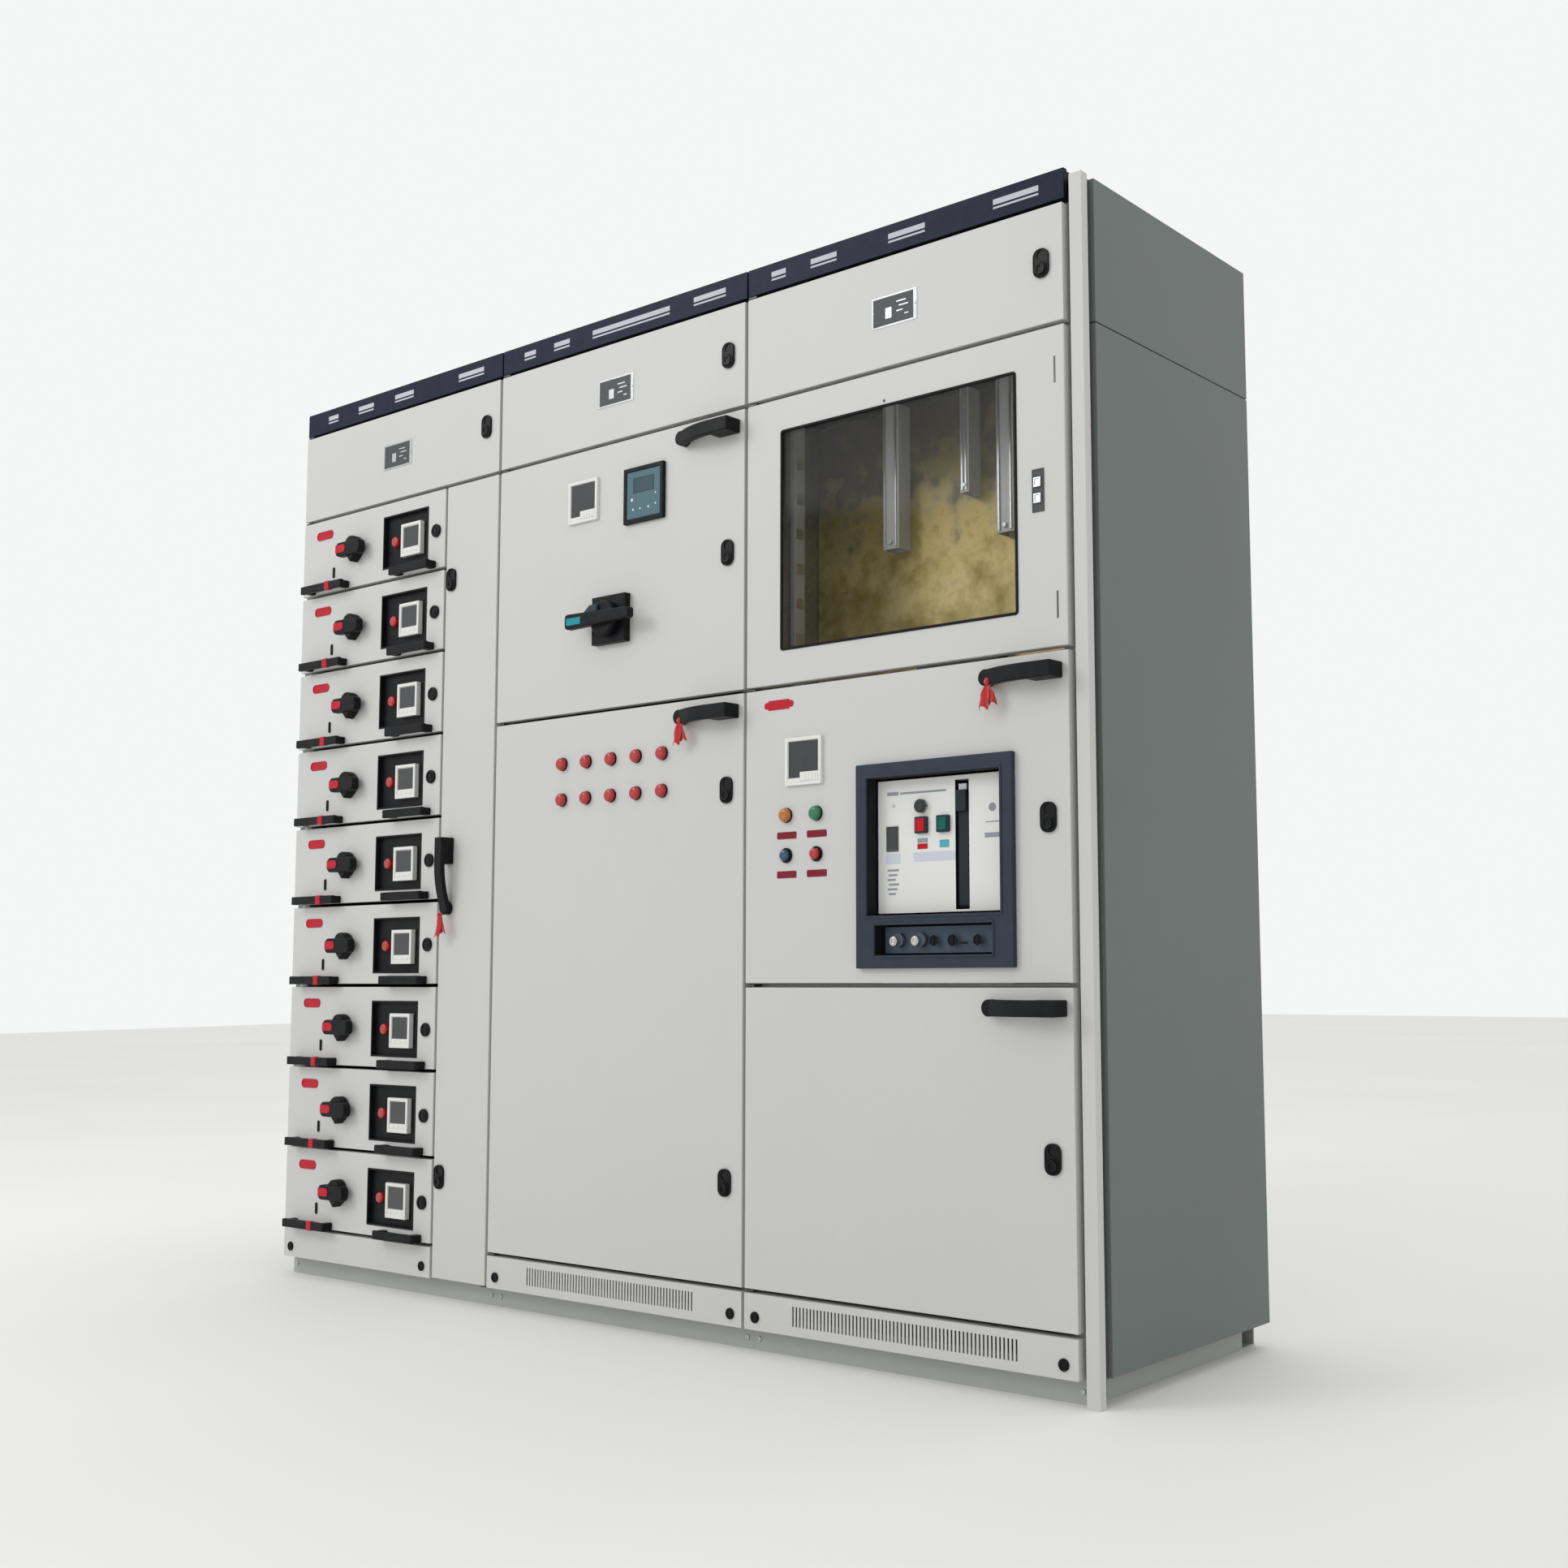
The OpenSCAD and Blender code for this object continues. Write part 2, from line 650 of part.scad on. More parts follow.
// A push-button cap with its stem through the door
module push_button(i) {
    x = button_x + i * lamp_pitch;
    z = button_z - lamp_pitch;
    color(i ? "#c11c1c" : "#2450a8") union() {
        bar_y(x, y_front - 6 - press, z, lamp_r - 4.3, 5);
        bar_y(x, y_front - 2 - press, z, lamp_r - 5, sheet + 8 + press);
    }
}

module base_door() {
    color("#d3d4d1") difference() {
        door(x_mid, x_right, z_door, z_one);
        lock_hole(base_lock);
    }
    pull(x_right - pull_in, z_one - pull_drop, pull_l, pull_out);
}

// Air circuit breaker

module breaker_body() {
    z0 = z_one + shelf_t + 4 + run_clear;
    x0 = surround_x - face_w / 2;
    color("#e3e4e2") difference() {
        block([x0, face_y, face_z - face_h / 2], [face_w, rack_room + 12, face_h]);
        block([lever_x - 16, face_y - 1, face_z - face_h / 2 + 4], [32, 34, face_h - 12]);
        for (x = [knob_x, on_x]) bar_y(x, face_y - 1, press_z, 8.3, 24);
    }
    color("#c7c9c8") {
        bar_y(knob_x, face_y - 6, face_z + 74, 13, 6);
        translate([lever_x - 17, face_y + 12, lever_z]) rotate([0, 90, 0]) cylinder(r = 4, h = 34);
    }
    color("#4a4e54") block([x0 + 0.2, y_front + 30 + rack_room, z0],
                           [face_w - 0.4, breaker_d - 70, surround_h - 60]);
    color("#b5703c") for (i = [0:2], z = [z0 + 90, z0 + 240])
        block([surround_x - 110 + i * 90, y_front + rack_room + breaker_d - 40, z], [40, 40, 20]);
}

// Spring-charging lever, turning on a pin across the slot at its lower end
module charging_lever() color("#3b434f") difference() {
    union() {
        block([lever_x - 12, face_y + 4, lever_z], [24, 12, lever_l]);
        block([lever_x - 12, face_y - 6, lever_z + lever_l - 42], [24, 10 + e, 40]);
        translate([lever_x - 12, face_y + 12, lever_z]) rotate([0, 90, 0]) cylinder(r = 8, h = 24);
    }
    translate([lever_x - 13, face_y + 12, lever_z]) rotate([0, 90, 0])
        cylinder(r = 4 + pin_clear, h = 26);
}

// ON and OFF caps on the breaker's front
module breaker_button(x, c) color(c) bar_y(x, face_y - press - 1, press_z, 8, 14);

// Withdrawable feeder unit: front, tray plates, apparatus and rear plug
module drawer(i) {
    x0 = x_left;
    z0 = z_top - i * module_h;
    px = x0 + unit_panel[0];
    pz = z0 + unit_panel[1];
    color("#d3d4d1") difference() {
        pan(x0 + gap / 2, unit_x1 - gap / 2, z0 + gap / 2, z0 + module_h - gap / 2);
        block([px - panel_w / 2, y_front - 1, pz - panel_h / 2], [panel_w, sheet + 2, panel_h]);
        bar_y(x0 + unit_switch[0], y_front - 1, z0 + unit_switch[1], 5 + pin_clear, sheet + 2);
    }
    color("#202124") difference() {
        block([px - panel_w / 2, y_front + e, pz - panel_h / 2], [panel_w, pan_t - 4, panel_h]);
        block([px - panel_w / 2 + sheet, y_front - 1, pz - panel_h / 2 + sheet],
              [panel_w - 2 * sheet, panel_sink + 1, panel_h - 2 * sheet]);
    }
    color("#e4e5e3") block([x0 + unit_meter[0] - unit_meter_w / 2, y_front - 2,
                            z0 + unit_meter[1] - unit_meter_w / 2],
                           [unit_meter_w, panel_sink + 2, unit_meter_w]);
    color("#c11c1c") bar_y(x0 + unit_lamp[0], y_front - 2, z0 + unit_lamp[1], 11, panel_sink + 2);
    color("#202124") bar_y(x0 + unit_lock[0], y_front - 5, z0 + unit_lock[1], 16, 5);
    for (p = unit_pulls)
        pull(x0 + p, z0 + unit_pull_z, unit_pull_l, unit_pull_out, grip = 10);
    color("#b8bbbd") {
        block([tray_x0, y_pan + weld, z0 + tray_z], [tray_w, tray_d, sheet]);
        for (x = [tray_x0, tray_x1 - sheet])
            block([x, y_pan + weld, z0 + tray_z + sheet + weld], [sheet, tray_d, tray_h]);
        block([tray_x0 + sheet + weld, y_pan + tray_d - sheet, z0 + tray_z + sheet + weld],
              [tray_w - 2 * sheet - 2 * weld, sheet, tray_h]);
    }
    color("#3a3d42") {
        block([x0 + unit_switch[0] - 60, y_pan + switch_back, z0 + tray_z + sheet + weld],
              [120, 110, 120]);
        block([x0 + unit_switch[0] - 45, y_pan + 250, z0 + tray_z + sheet + weld], [90, 110, 100]);
        block([x0 + 120, y_pan + tray_d + 2 * weld, z0 + tray_z + 30],
              [330, dropper_y - y_pan - tray_d - 2 * weld - run_clear, 60]);
    }
}

// Rotary handle of a feeder unit, with its shaft into the switch behind
module drawer_switch(i) {
    x = x_left + unit_switch[0];
    z = z_top - i * module_h + unit_switch[1];
    color("#1c1d1f") union() {
        bar_y(x, y_front - 10, z, 24, 9.7);
        block([x - 34, y_front - 30, z - 8], [68, 20 + e, 16]);
        bar_y(x, y_front - 1, z, 5, pan_t + 1 + switch_back - run_clear);
    }
}

base_frames();
frame();
roof_covers();
side_covers();
rear_covers();
name_boards();
kick_plates();
partitions();
mounting_plates();
drawer_runners();
busbars();
busbar_supports();
breaker_cradle();
hinge_pivots();
cover_screws();
top_door(0);  // top_door_left
top_door(1);  // top_door_middle
top_door(2);  // top_door_right
cable_door();
upper_door();
lower_door();
window_door();
breaker_door();
base_door();
window_glass();
upper_instruments();
signal_lamps();
breaker_surround();
isolator_handle();
push_button(0);  // blue_button
push_button(1);  // red_button
breaker_body();
charging_lever();
breaker_button(on_x, "#2f9a4a");  // on_button
breaker_button(knob_x, "#c11c1c");  // off_button
top_lock(0);  // top_lock_left
top_lock(1);  // top_lock_middle
top_lock(2);  // top_lock_right
lock(upper_lock);  // upper_door_lock
lock(lower_locks[0]);  // lower_door_lock
lock(breaker_lock);  // breaker_door_lock
lock(base_lock);  // base_door_lock
for (i = [1:drawers]) {
    drawer(i);
    drawer_switch(i);
}
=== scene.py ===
from math import cos, pi, radians, sin

import bpy
from mathutils import Matrix, Vector


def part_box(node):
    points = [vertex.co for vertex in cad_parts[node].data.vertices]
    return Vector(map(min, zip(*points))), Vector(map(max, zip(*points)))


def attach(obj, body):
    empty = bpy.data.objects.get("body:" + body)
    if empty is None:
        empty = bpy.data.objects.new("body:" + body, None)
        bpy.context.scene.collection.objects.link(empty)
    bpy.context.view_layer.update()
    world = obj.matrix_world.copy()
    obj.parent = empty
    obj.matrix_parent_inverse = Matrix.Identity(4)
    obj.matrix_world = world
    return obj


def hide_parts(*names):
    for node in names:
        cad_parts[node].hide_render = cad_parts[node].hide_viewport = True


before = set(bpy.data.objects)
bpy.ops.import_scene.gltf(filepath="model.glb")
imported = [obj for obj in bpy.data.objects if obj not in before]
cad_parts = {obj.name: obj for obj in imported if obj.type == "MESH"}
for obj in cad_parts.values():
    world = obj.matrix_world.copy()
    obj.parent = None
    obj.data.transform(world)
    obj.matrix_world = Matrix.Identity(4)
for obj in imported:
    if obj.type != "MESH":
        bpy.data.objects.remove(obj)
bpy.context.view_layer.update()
mm = 0.001

# Camera. It stands to the right of the line-up, a little under half its height, and looks
# slightly up along the fronts. The shift keeps the upright edges where a person's eye has them.
camera_place = Vector((2.926, -2.928, 0.760))
turn, pitch, roll = radians(36.82), radians(5.78), radians(-0.52)
ahead = Vector((-sin(turn) * cos(pitch), cos(turn) * cos(pitch), sin(pitch)))
right = Vector((cos(turn), sin(turn), 0))
up = right.cross(ahead)
axes = Matrix((right * cos(roll) + up * sin(roll), up * cos(roll) - right * sin(roll), -ahead))
lens = bpy.data.cameras.new("camera")
lens.sensor_width = 36
lens.lens = 40.69
lens.shift_x = -0.12
camera = bpy.data.objects.new("camera", lens)
camera.matrix_world = Matrix.Translation(camera_place) @ axes.transposed().to_4x4()
bpy.context.scene.collection.objects.link(camera)
bpy.context.scene.camera = camera


# Floor. A plain pale studio floor, large enough to run out of sight.
def linear(colour):
    """An sRGB hex colour as linear RGBA."""
    parts = [int(colour[k:k + 2], 16) / 255 for k in (1, 3, 5)]
    return [p / 12.92 if p <= 0.04045 else ((p + 0.055) / 1.055) ** 2.4 for p in parts] + [1]


def add(material, kind, inputs=(), **settings):
    """Adds a shader node, with its settings and with values or links on its inputs."""
    made = material.node_tree.nodes.new("ShaderNode" + kind)
    for name, value in settings.items():
        setattr(made, name, value)
    for name, value in dict(inputs).items():
        if isinstance(value, bpy.types.NodeSocket):
            material.node_tree.links.new(value, made.inputs[name])
        else:
            made.inputs[name].default_value = value
    return made


def new_material(name, colour, roughness, **sockets):
    """A material whose one shader has these plain values; returns both."""
    material = bpy.data.materials.new(name)
    material.use_nodes = True
    shader = material.node_tree.nodes["Principled BSDF"]
    shader.inputs["Base Color"].default_value = linear(colour)
    shader.inputs["Roughness"].default_value = roughness
    for key, value in sockets.items():
        shader.inputs[key.replace("_", " ")].default_value = value
    return material, shader


def pattern(material, kind, scale, **values):
    """A texture node laid on the piece's own coordinates."""
    place = add(material, "TexCoord").outputs["Object"]
    inputs = {"Vector": place, "Scale": scale}
    inputs.update({key.title(): value for key, value in values.items()})
    return add(material, "Tex" + kind, inputs)


def tint(material, shader, share, first, second):
    """Mixes two colours into the shader's base colour."""
    mix = add(material, "MixRGB", {"Fac": share, "Color1": linear(first), "Color2": linear(second)})
    material.node_tree.links.new(mix.outputs["Color"], shader.inputs["Base Color"])


def primitive(kind, name, at, **sizes):
    """Adds a mesh primitive, with its place in its mesh."""
    bpy.ops.object.select_all(action="DESELECT")
    getattr(bpy.ops.mesh, f"primitive_{kind}_add")(location=at, **sizes)
    piece = bpy.context.object
    piece.name = piece.data.name = name
    bpy.ops.object.transform_apply(location=True, rotation=True, scale=True)
    return piece


floor = primitive("plane", "floor", (0, 0, 0), size=40)
floor_paint, floor_shader = new_material("pale_floor_paint", "#E9E9E7", 0.75)
floor_cloud = pattern(floor_paint, "Noise", 0.6, detail=2)
tint(floor_paint, floor_shader, floor_cloud.outputs["Fac"], "#ECECEA", "#E4E4E1")
floor.data.materials.append(floor_paint)

# Light. A bright even room, with one broad soft lamp high on the left in front, so that the
# fronts are light, the right end is in shade and handles throw soft shadows down and right.
world = bpy.data.worlds.new("studio")
world.use_nodes = True
world.node_tree.nodes["Background"].inputs["Color"].default_value = (0.97, 0.975, 0.98, 1)
world.node_tree.nodes["Background"].inputs["Strength"].default_value = 0.94
bpy.context.scene.world = world
bpy.context.scene.view_settings.view_transform = "Standard"
for name, place, target, size, power in [
        ("key", (-3.4, -5.2, 4.6), (0.0, -0.3, 1.0), 2.6, 120),
        ("fill", (1.2, -6.5, 1.8), (0.4, -0.3, 1.2), 3.4, 12),
        ("top", (0.5, 1.5, 5.0), (0.0, 0.0, 2.0), 3.0, 20)]:
    lamp = bpy.data.lights.new(name, "AREA")
    lamp.size = size
    lamp.energy = power
    holder = bpy.data.objects.new(name, lamp)
    holder.location = place
    holder.rotation_euler = (Vector(target) - Vector(place)).to_track_quat("-Z", "Y").to_euler()
    bpy.context.scene.collection.objects.link(holder)


# Doors. Folded 2 mm sheet steel with returned edges, welded at the corners and coated light grey;
# each hangs on pivots in its edge and closes on a rubber seal that is pressed round its back.
def islands(mesh):
    """The separate solids of a merged mesh, as lists of vertex numbers."""
    owner = list(range(len(mesh.vertices)))

    def root(v):
        while owner[v] != v:
            owner[v] = owner[owner[v]]
            v = owner[v]
        return v

    for edge in mesh.edges:
        owner[root(edge.vertices[0])] = root(edge.vertices[1])
    groups = {}
    for v in range(len(owner)):
        groups.setdefault(root(v), []).append(v)
    return list(groups.values())


def corners(mesh, group=None):
    """The lowest and highest corners of a mesh, or of some of its vertices."""
    points = [mesh.vertices[v].co for v in (group or range(len(mesh.vertices)))]
    return (Vector([min(p[k] for p in points) for k in range(3)]),
            Vector([max(p[k] for p in points) for k in range(3)]))


def only(piece):
    """Selects one piece and makes it the active one."""
    bpy.ops.object.select_all(action="DESELECT")
    piece.select_set(True)
    bpy.context.view_layer.objects.active = piece


def from_node(node, name, keep=None):
    """A merged copy of a CAD node's solids; keep picks some of them by their lowest and highest corners."""
    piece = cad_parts[node].copy()
    piece.data = piece.data.copy()
    for key in list(piece.keys()):
        del piece[key]
    piece.parent = None
    piece.name = piece.data.name = name
    bpy.context.scene.collection.objects.link(piece)
    piece.hide_viewport = piece.hide_render = False
    piece.hide_set(False)
    only(piece)
    bpy.ops.object.mode_set(mode="EDIT")
    bpy.ops.mesh.select_all(action="SELECT")
    bpy.ops.mesh.customdata_custom_splitnormals_clear()
    bpy.ops.mesh.remove_doubles(threshold=0.02 * mm)
    bpy.ops.mesh.dissolve_limited(angle_limit=radians(0.5))
    bpy.ops.mesh.select_all(action="DESELECT")
    bpy.ops.object.mode_set(mode="OBJECT")
    if keep:
        for group in islands(piece.data):
            if not keep(*corners(piece.data, group)):
                for v in group:
                    piece.data.vertices[v].select = True
        bpy.context.tool_settings.mesh_select_mode = (True, False, False)
        bpy.ops.object.mode_set(mode="EDIT")
        bpy.ops.mesh.delete(type="VERT")
        bpy.ops.object.mode_set(mode="OBJECT")
    return piece


def soften(piece, width, segments=2, edges=None, angle=35):
    """Rounds the sharp edges, or those that a test on their two ends picks; the width is in millimetres."""
    only(piece)
    mesh = piece.data
    bevel = piece.modifiers.new("edges", "BEVEL")
    bevel.width = width * mm
    bevel.segments = segments
    bevel.angle_limit = radians(angle)
    if edges:
        bevel.limit_method = "WEIGHT"
        weights = mesh.attributes.new("bevel_weight_edge", "FLOAT", "EDGE")
        for edge in mesh.edges:
            ends = [mesh.vertices[v].co for v in edge.vertices]
            weights.data[edge.index].value = float(edges(*ends))
    bpy.ops.object.modifier_apply(modifier=bevel.name)
    bpy.ops.object.shade_smooth_by_angle(angle=radians(angle))
    normals = piece.modifiers.new("normals", "WEIGHTED_NORMAL")
    normals.keep_sharp = True
    bpy.ops.object.modifier_apply(modifier=normals.name)
    return piece


def rim(low, high):
    """A test for the front rim and the four corner folds of a pan between two corners."""
    def test(a, b):
        sides = sum(min(abs(a[k] - end) + abs(b[k] - end) for end in (low[k], high[k])) < 0.2 * mm
                    for k in range(3))
        return sides > 1 and min(a.y, b.y) < high.y - mm
    return test


def finish(piece, material, slot, body, *replaced):
    """Gives a piece its material and its body, and hides the CAD nodes that it stands for; the slot is not
    used.
    """
    piece.data.materials.clear()
    piece.data.materials.append(material)
    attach(piece, body)
    if replaced:
        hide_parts(*replaced)
    return piece


# Polyester powder coat: baked paint with a soft sheen and a fine orange peel that breaks up
# highlights. The peel is drawn at 2.5 mm, coarser than the real 1 mm, so that it shows.
def relief(material, shader, height, strength, distance):
    """Bumps the shader's surface."""
    bump = add(material, "Bump", {"Height": height, "Strength": strength, "Distance": distance})
    material.node_tree.links.new(bump.outputs["Normal"], shader.inputs["Normal"])


def sheen(material, shader, share, low, high):
    """Varies the shader's roughness between two values."""
    gloss = add(material, "MapRange", {"Value": share, "To Min": low, "To Max": high})
    material.node_tree.links.new(gloss.outputs["Result"], shader.inputs["Roughness"])


def powder_coat(name, colour, shade, peel=2.5, strength=0.16):
    material, shader = new_material(name, colour, 0.45)
    cloud = pattern(material, "Noise", 1.6, detail=4, roughness=0.6).outputs["Fac"]
    grain = pattern(material, "Noise", 1 / (peel * mm), detail=2).outputs["Fac"]
    tint(material, shader, cloud, colour, shade)
    sheen(material, shader, grain, 0.38, 0.56)
    relief(material, shader, grain, strength, 0.12 * mm)
    return material


# Moulded EPDM and nylon: deep black with a fine spark-eroded grain of about 0.6 mm, drawn at
# 1.5 mm, which gives broad dull highlights and slightly greyed edges.
def moulded(name, colour, roughness, grain_size=1.5, strength=0.25):
    material, shader = new_material(name, colour, roughness, Specular_IOR_Level=0.14)
    grain = pattern(material, "Noise", 1 / (grain_size * mm), detail=3).outputs["Fac"]
    cloud = pattern(material, "Noise", 30, detail=3)
    dust = add(material, "MapRange", {"Value": cloud.outputs["Fac"], "From Min": 0.35,
                                      "From Max": 0.8, "To Min": 0.0, "To Max": 0.025})
    tint(material, shader, dust.outputs["Result"], colour, "#8A8D8E")
    sheen(material, shader, grain, roughness - 0.08, roughness + 0.1)
    relief(material, shader, grain, strength, 0.1 * mm)
    return material


front_coat = powder_coat("light_grey_powder_coat", "#C4C4C2", "#BEBEBC")
rubber = moulded("epdm_rubber", "#17181A", 0.75)
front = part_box("top_door_left")[0].y


def block(name, low, high):
    """A cube between two corners."""
    low, high = Vector(low), Vector(high)
    bpy.ops.object.select_all(action="DESELECT")
    bpy.ops.mesh.primitive_cube_add(size=1, location=(low + high) / 2)
    piece = bpy.context.object
    piece.scale = high - low
    piece.name = piece.data.name = name
    bpy.ops.object.transform_apply(location=True, rotation=True, scale=True)
    return piece


def pick(piece, faces=None, edges=None):
    """Goes to edit mode on the faces, by centre and normal, or the edges, by their ends, of a test."""
    mesh = piece.data
    for group in (mesh.vertices, mesh.edges, mesh.polygons):
        group.foreach_set("select", [False] * len(group))
    if faces:
        for face in mesh.polygons:
            face.select = bool(faces(face.center, face.normal))
    else:
        for edge in mesh.edges:
            edge.select = bool(edges(*[mesh.vertices[v].co for v in edge.vertices]))
    bpy.context.view_layer.objects.active = piece
    bpy.context.tool_settings.mesh_select_mode = (False, bool(edges), bool(faces))
    bpy.ops.object.mode_set(mode="EDIT")


def blend(piece, radius, segments, **test):
    """Rounds the edges, or the rims of the faces, that a test picks; the radius is in millimetres."""
    pick(piece, **test)
    bpy.ops.mesh.bevel(offset=radius * mm, segments=segments)
    bpy.ops.object.mode_set(mode="OBJECT")


def depthwise(a, b):
    """A test for the edges that run from front to back."""
    return abs(a.y - b.y) > 0.5 * mm


def ring(name, low, high, width, corner=0):
    """A rectangular ring in a front plane; corner is the radius of its corners in millimetres."""
    piece = block(name, low, high)
    if corner:
        blend(piece, corner, 6, edges=depthwise)
    pick(piece, faces=lambda c, n: abs(n.y) > 0.9)
    bpy.ops.mesh.inset(thickness=width, use_individual=True)
    bpy.ops.mesh.bridge_edge_loops()
    bpy.ops.object.mode_set(mode="OBJECT")
    return piece


doors = ["top_door_left", "top_door_middle", "top_door_right", "cable_door", "upper_door", "lower_door",
         "window_door", "breaker_door", "base_door"]
fold, seal_in, seal_w = 2.2, 7 * mm, 9 * mm
for node in doors:
    pan = from_node(node, node + "_pan", keep=lambda low, high: high.z - low.z > 0.2)
    low, high = corners(pan.data)
    low.y = front
    soften(pan, fold, 3, rim(low, high))
    finish(pan, front_coat, "painted_front", node, node)
    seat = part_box("frame")[0].y
    inset = Vector((seal_in, 0, seal_in))
    seal = ring(node + "_seal", Vector((low.x, high.y + 0.1 * mm, low.z)) + inset,
                Vector((high.x, seat - 0.8 * mm, high.z)) - inset, seal_w)
    soften(seal, 1.6)
    finish(seal, rubber, "black_plastic", node)

# Kick plates. The same coated sheet below the doors, with air slots punched in the two wide ones,
# held by a black nylon quarter-turn plug near each end.
def disc(name, at, radius, depth, sides=40):
    """A cylinder along Y, from its front face's middle going back."""
    return primitive("cylinder", name, (at[0], at[1] + depth / 2, at[2]), radius=radius, depth=depth,
                     vertices=sides, rotation=(pi / 2, 0, 0))


def step(piece, *moves):
    """Insets the front face and pushes it back, once for each (inset, push) pair in millimetres."""
    y = corners(piece.data)[0].y
    pick(piece, faces=lambda centre, normal: normal.y < -0.9 and abs(centre.y - y) < 0.1 * mm)
    for inset, push in moves:
        if inset:
            bpy.ops.mesh.inset(thickness=inset * mm)
        if push:
            bpy.ops.mesh.extrude_region_move(TRANSFORM_OT_translate={"value": (0, push * mm, 0)})
    bpy.ops.object.mode_set(mode="OBJECT")


def copy(piece, name, move):
    """A copy with its own mesh, moved in the row frame."""
    twin = piece.copy()
    twin.data = piece.data.copy()
    twin.name = twin.data.name = name
    twin.data.transform(Matrix.Translation(move))
    bpy.context.scene.collection.objects.link(twin)
    return twin


def join(name, pieces):
    """Makes one piece of several."""
    bpy.ops.object.select_all(action="DESELECT")
    for piece in pieces:
        piece.select_set(True)
    bpy.context.view_layer.objects.active = pieces[0]
    if len(pieces) > 1:
        bpy.ops.object.join()
    pieces[0].name = pieces[0].data.name = name
    return pieces[0]


nylon = moulded("black_nylon", "#0C0D10", 0.46)
kick = soften(from_node("kick_plates", "kick_plate_sheets"), 0.8)
plugs = []
for group in islands(kick.data):
    low, high = corners(kick.data, group)
    if high.x - low.x > 0.3:
        for x in (low.x + 30 * mm, high.x - 30 * mm):
            plug = disc("plug", (x, front - 3 * mm, 71 * mm), 11 * mm, 3 * mm)
            step(plug, (2, -1.2), (3.5, 1.4))
            plugs.append(soften(plug, 0.5))
finish(kick, front_coat, "painted_front", "cabinet", "kick_plates")
finish(join("kick_plate_plugs", plugs), nylon, "black_plastic", "cabinet")

# End, roof and rear covers. Coated sheet pans; the end covers' coat is grey-green, and its colour is set
# darker still as painted shade, since the right end stands in shade. A light corner tube closes the front
# right edge of the line-up.
side_coat_with_painted_shade = powder_coat("grey_green_powder_coat", "#646C69", "#5D6562")
ends = soften(from_node("side_covers", "end_covers", keep=lambda low, high: low.z > 10 * mm), 1.2)
finish(ends, side_coat_with_painted_shade, "painted_side", "cabinet", "side_covers")
tube = soften(from_node("side_covers", "corner_tube", keep=lambda low, high: low.z < 10 * mm), 1.4, 3)
finish(tube, front_coat, "painted_front", "cabinet")
for node in ("roof_covers", "rear_covers"):
    cover = soften(from_node(node, node + "_sheets"), 1.2)
    finish(cover, front_coat, "painted_front", "cabinet", node)


# Zinc plate: a thin bright coat on steel, with soft spangle a few millimetres across.
def zinc(name, colour, shade, spangle=5, roughness=0.34):
    material, shader = new_material(name, colour, roughness, Metallic=0.9)
    flakes = pattern(material, "Voronoi", 1 / (spangle * mm)).outputs["Color"]
    cloud = pattern(material, "Noise", 9, detail=5, roughness=0.7).outputs["Fac"]
    share = add(material, "Math", {0: flakes, 1: cloud}, operation="MULTIPLY").outputs["Value"]
    tint(material, shader, share, colour, shade)
    sheen(material, shader, cloud, roughness - 0.1, roughness + 0.15)
    return material


# Screws of the rear covers and the plinth: pan heads with a cross recess, zinc plated. The end
# covers have hexagon heads.
def cut(piece, *tools):
    """Takes the tools' shapes out of a piece and removes them."""
    for tool in tools:
        only(piece)
        cutting = piece.modifiers.new("cut", "BOOLEAN")
        cutting.object = tool
        bpy.ops.object.modifier_apply(modifier=cutting.name)
        bpy.data.objects.remove(tool)
    return piece


bright_zinc = zinc("bright_zinc", "#C9CBCC", "#9DA1A3")
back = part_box("rear_covers")
screw = soften(disc("screw", (0, 0, 0), 5 * mm, 3 * mm, 24), 1.1, 3)
cut(screw, *[block("slot", (-a, 2 * mm, -b), (a, 4 * mm, b))
             for a, b in ((2.8 * mm, 0.6 * mm), (0.6 * mm, 2.8 * mm))])
section_w = (back[1].x - back[0].x + 6 * mm) / 3
heads = [copy(screw, "head", (back[0].x + i * section_w + x, back[1].y, z))
         for i in range(3) for x in (22 * mm, section_w - 28 * mm) for z in (0.12, 0.6, 1.1, 1.6, 2.1)]
finish(join("rear_cover_screws", heads), bright_zinc, "zinc_bright", "cabinet")
screw.data.transform(Matrix.Rotation(pi, 4, "Z"))
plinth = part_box("base_frames")
heads = [copy(screw, "head", (x, plinth[0].y, plinth[1].z / 2))
         for i in range(1, 4) for x in (plinth[0].x + i * section_w - 16 * mm,
                                        plinth[0].x + (i - 1) * section_w + 16 * mm)]
bpy.data.objects.remove(screw)
finish(join("plinth_screws", heads), bright_zinc, "zinc_bright", "cabinet")
hexagons = soften(from_node("cover_screws", "end_cover_screws"), 0.7)
finish(hexagons, bright_zinc, "zinc_bright", "cabinet", "cover_screws")

# Structure behind the covers. Coated posts and plinth, zinc-plated sheets and runners, mounting
# plates of yellow-passivated steel, copper bars on red moulded supports. They keep their CAD shape.
frame_coat = powder_coat("frame_grey_powder_coat", "#A7A9A6", "#9C9E9B")
sheet_zinc = zinc("galvanised_sheet", "#A9ADAF", "#7F8486", 9, 0.42)
dull_zinc = zinc("chromated_zinc", "#5E6062", "#4A4C4E", 5, 0.45)
drawn_copper, copper_shader = new_material("drawn_copper", "#B8714A", 0.32, Metallic=1.0)
copper_place = add(drawn_copper, "TexCoord").outputs["Object"]
copper_lie = add(drawn_copper, "Mapping", {"Vector": copper_place, "Scale": (3, 400, 400)})
copper_lines = add(drawn_copper, "TexNoise", {"Vector": copper_lie.outputs["Vector"], "Scale": 1})
tint(drawn_copper, copper_shader, copper_lines.outputs["Fac"], "#B8714A", "#95553A")
resin = moulded("red_moulded_resin", "#7C2B24", 0.5, 3)
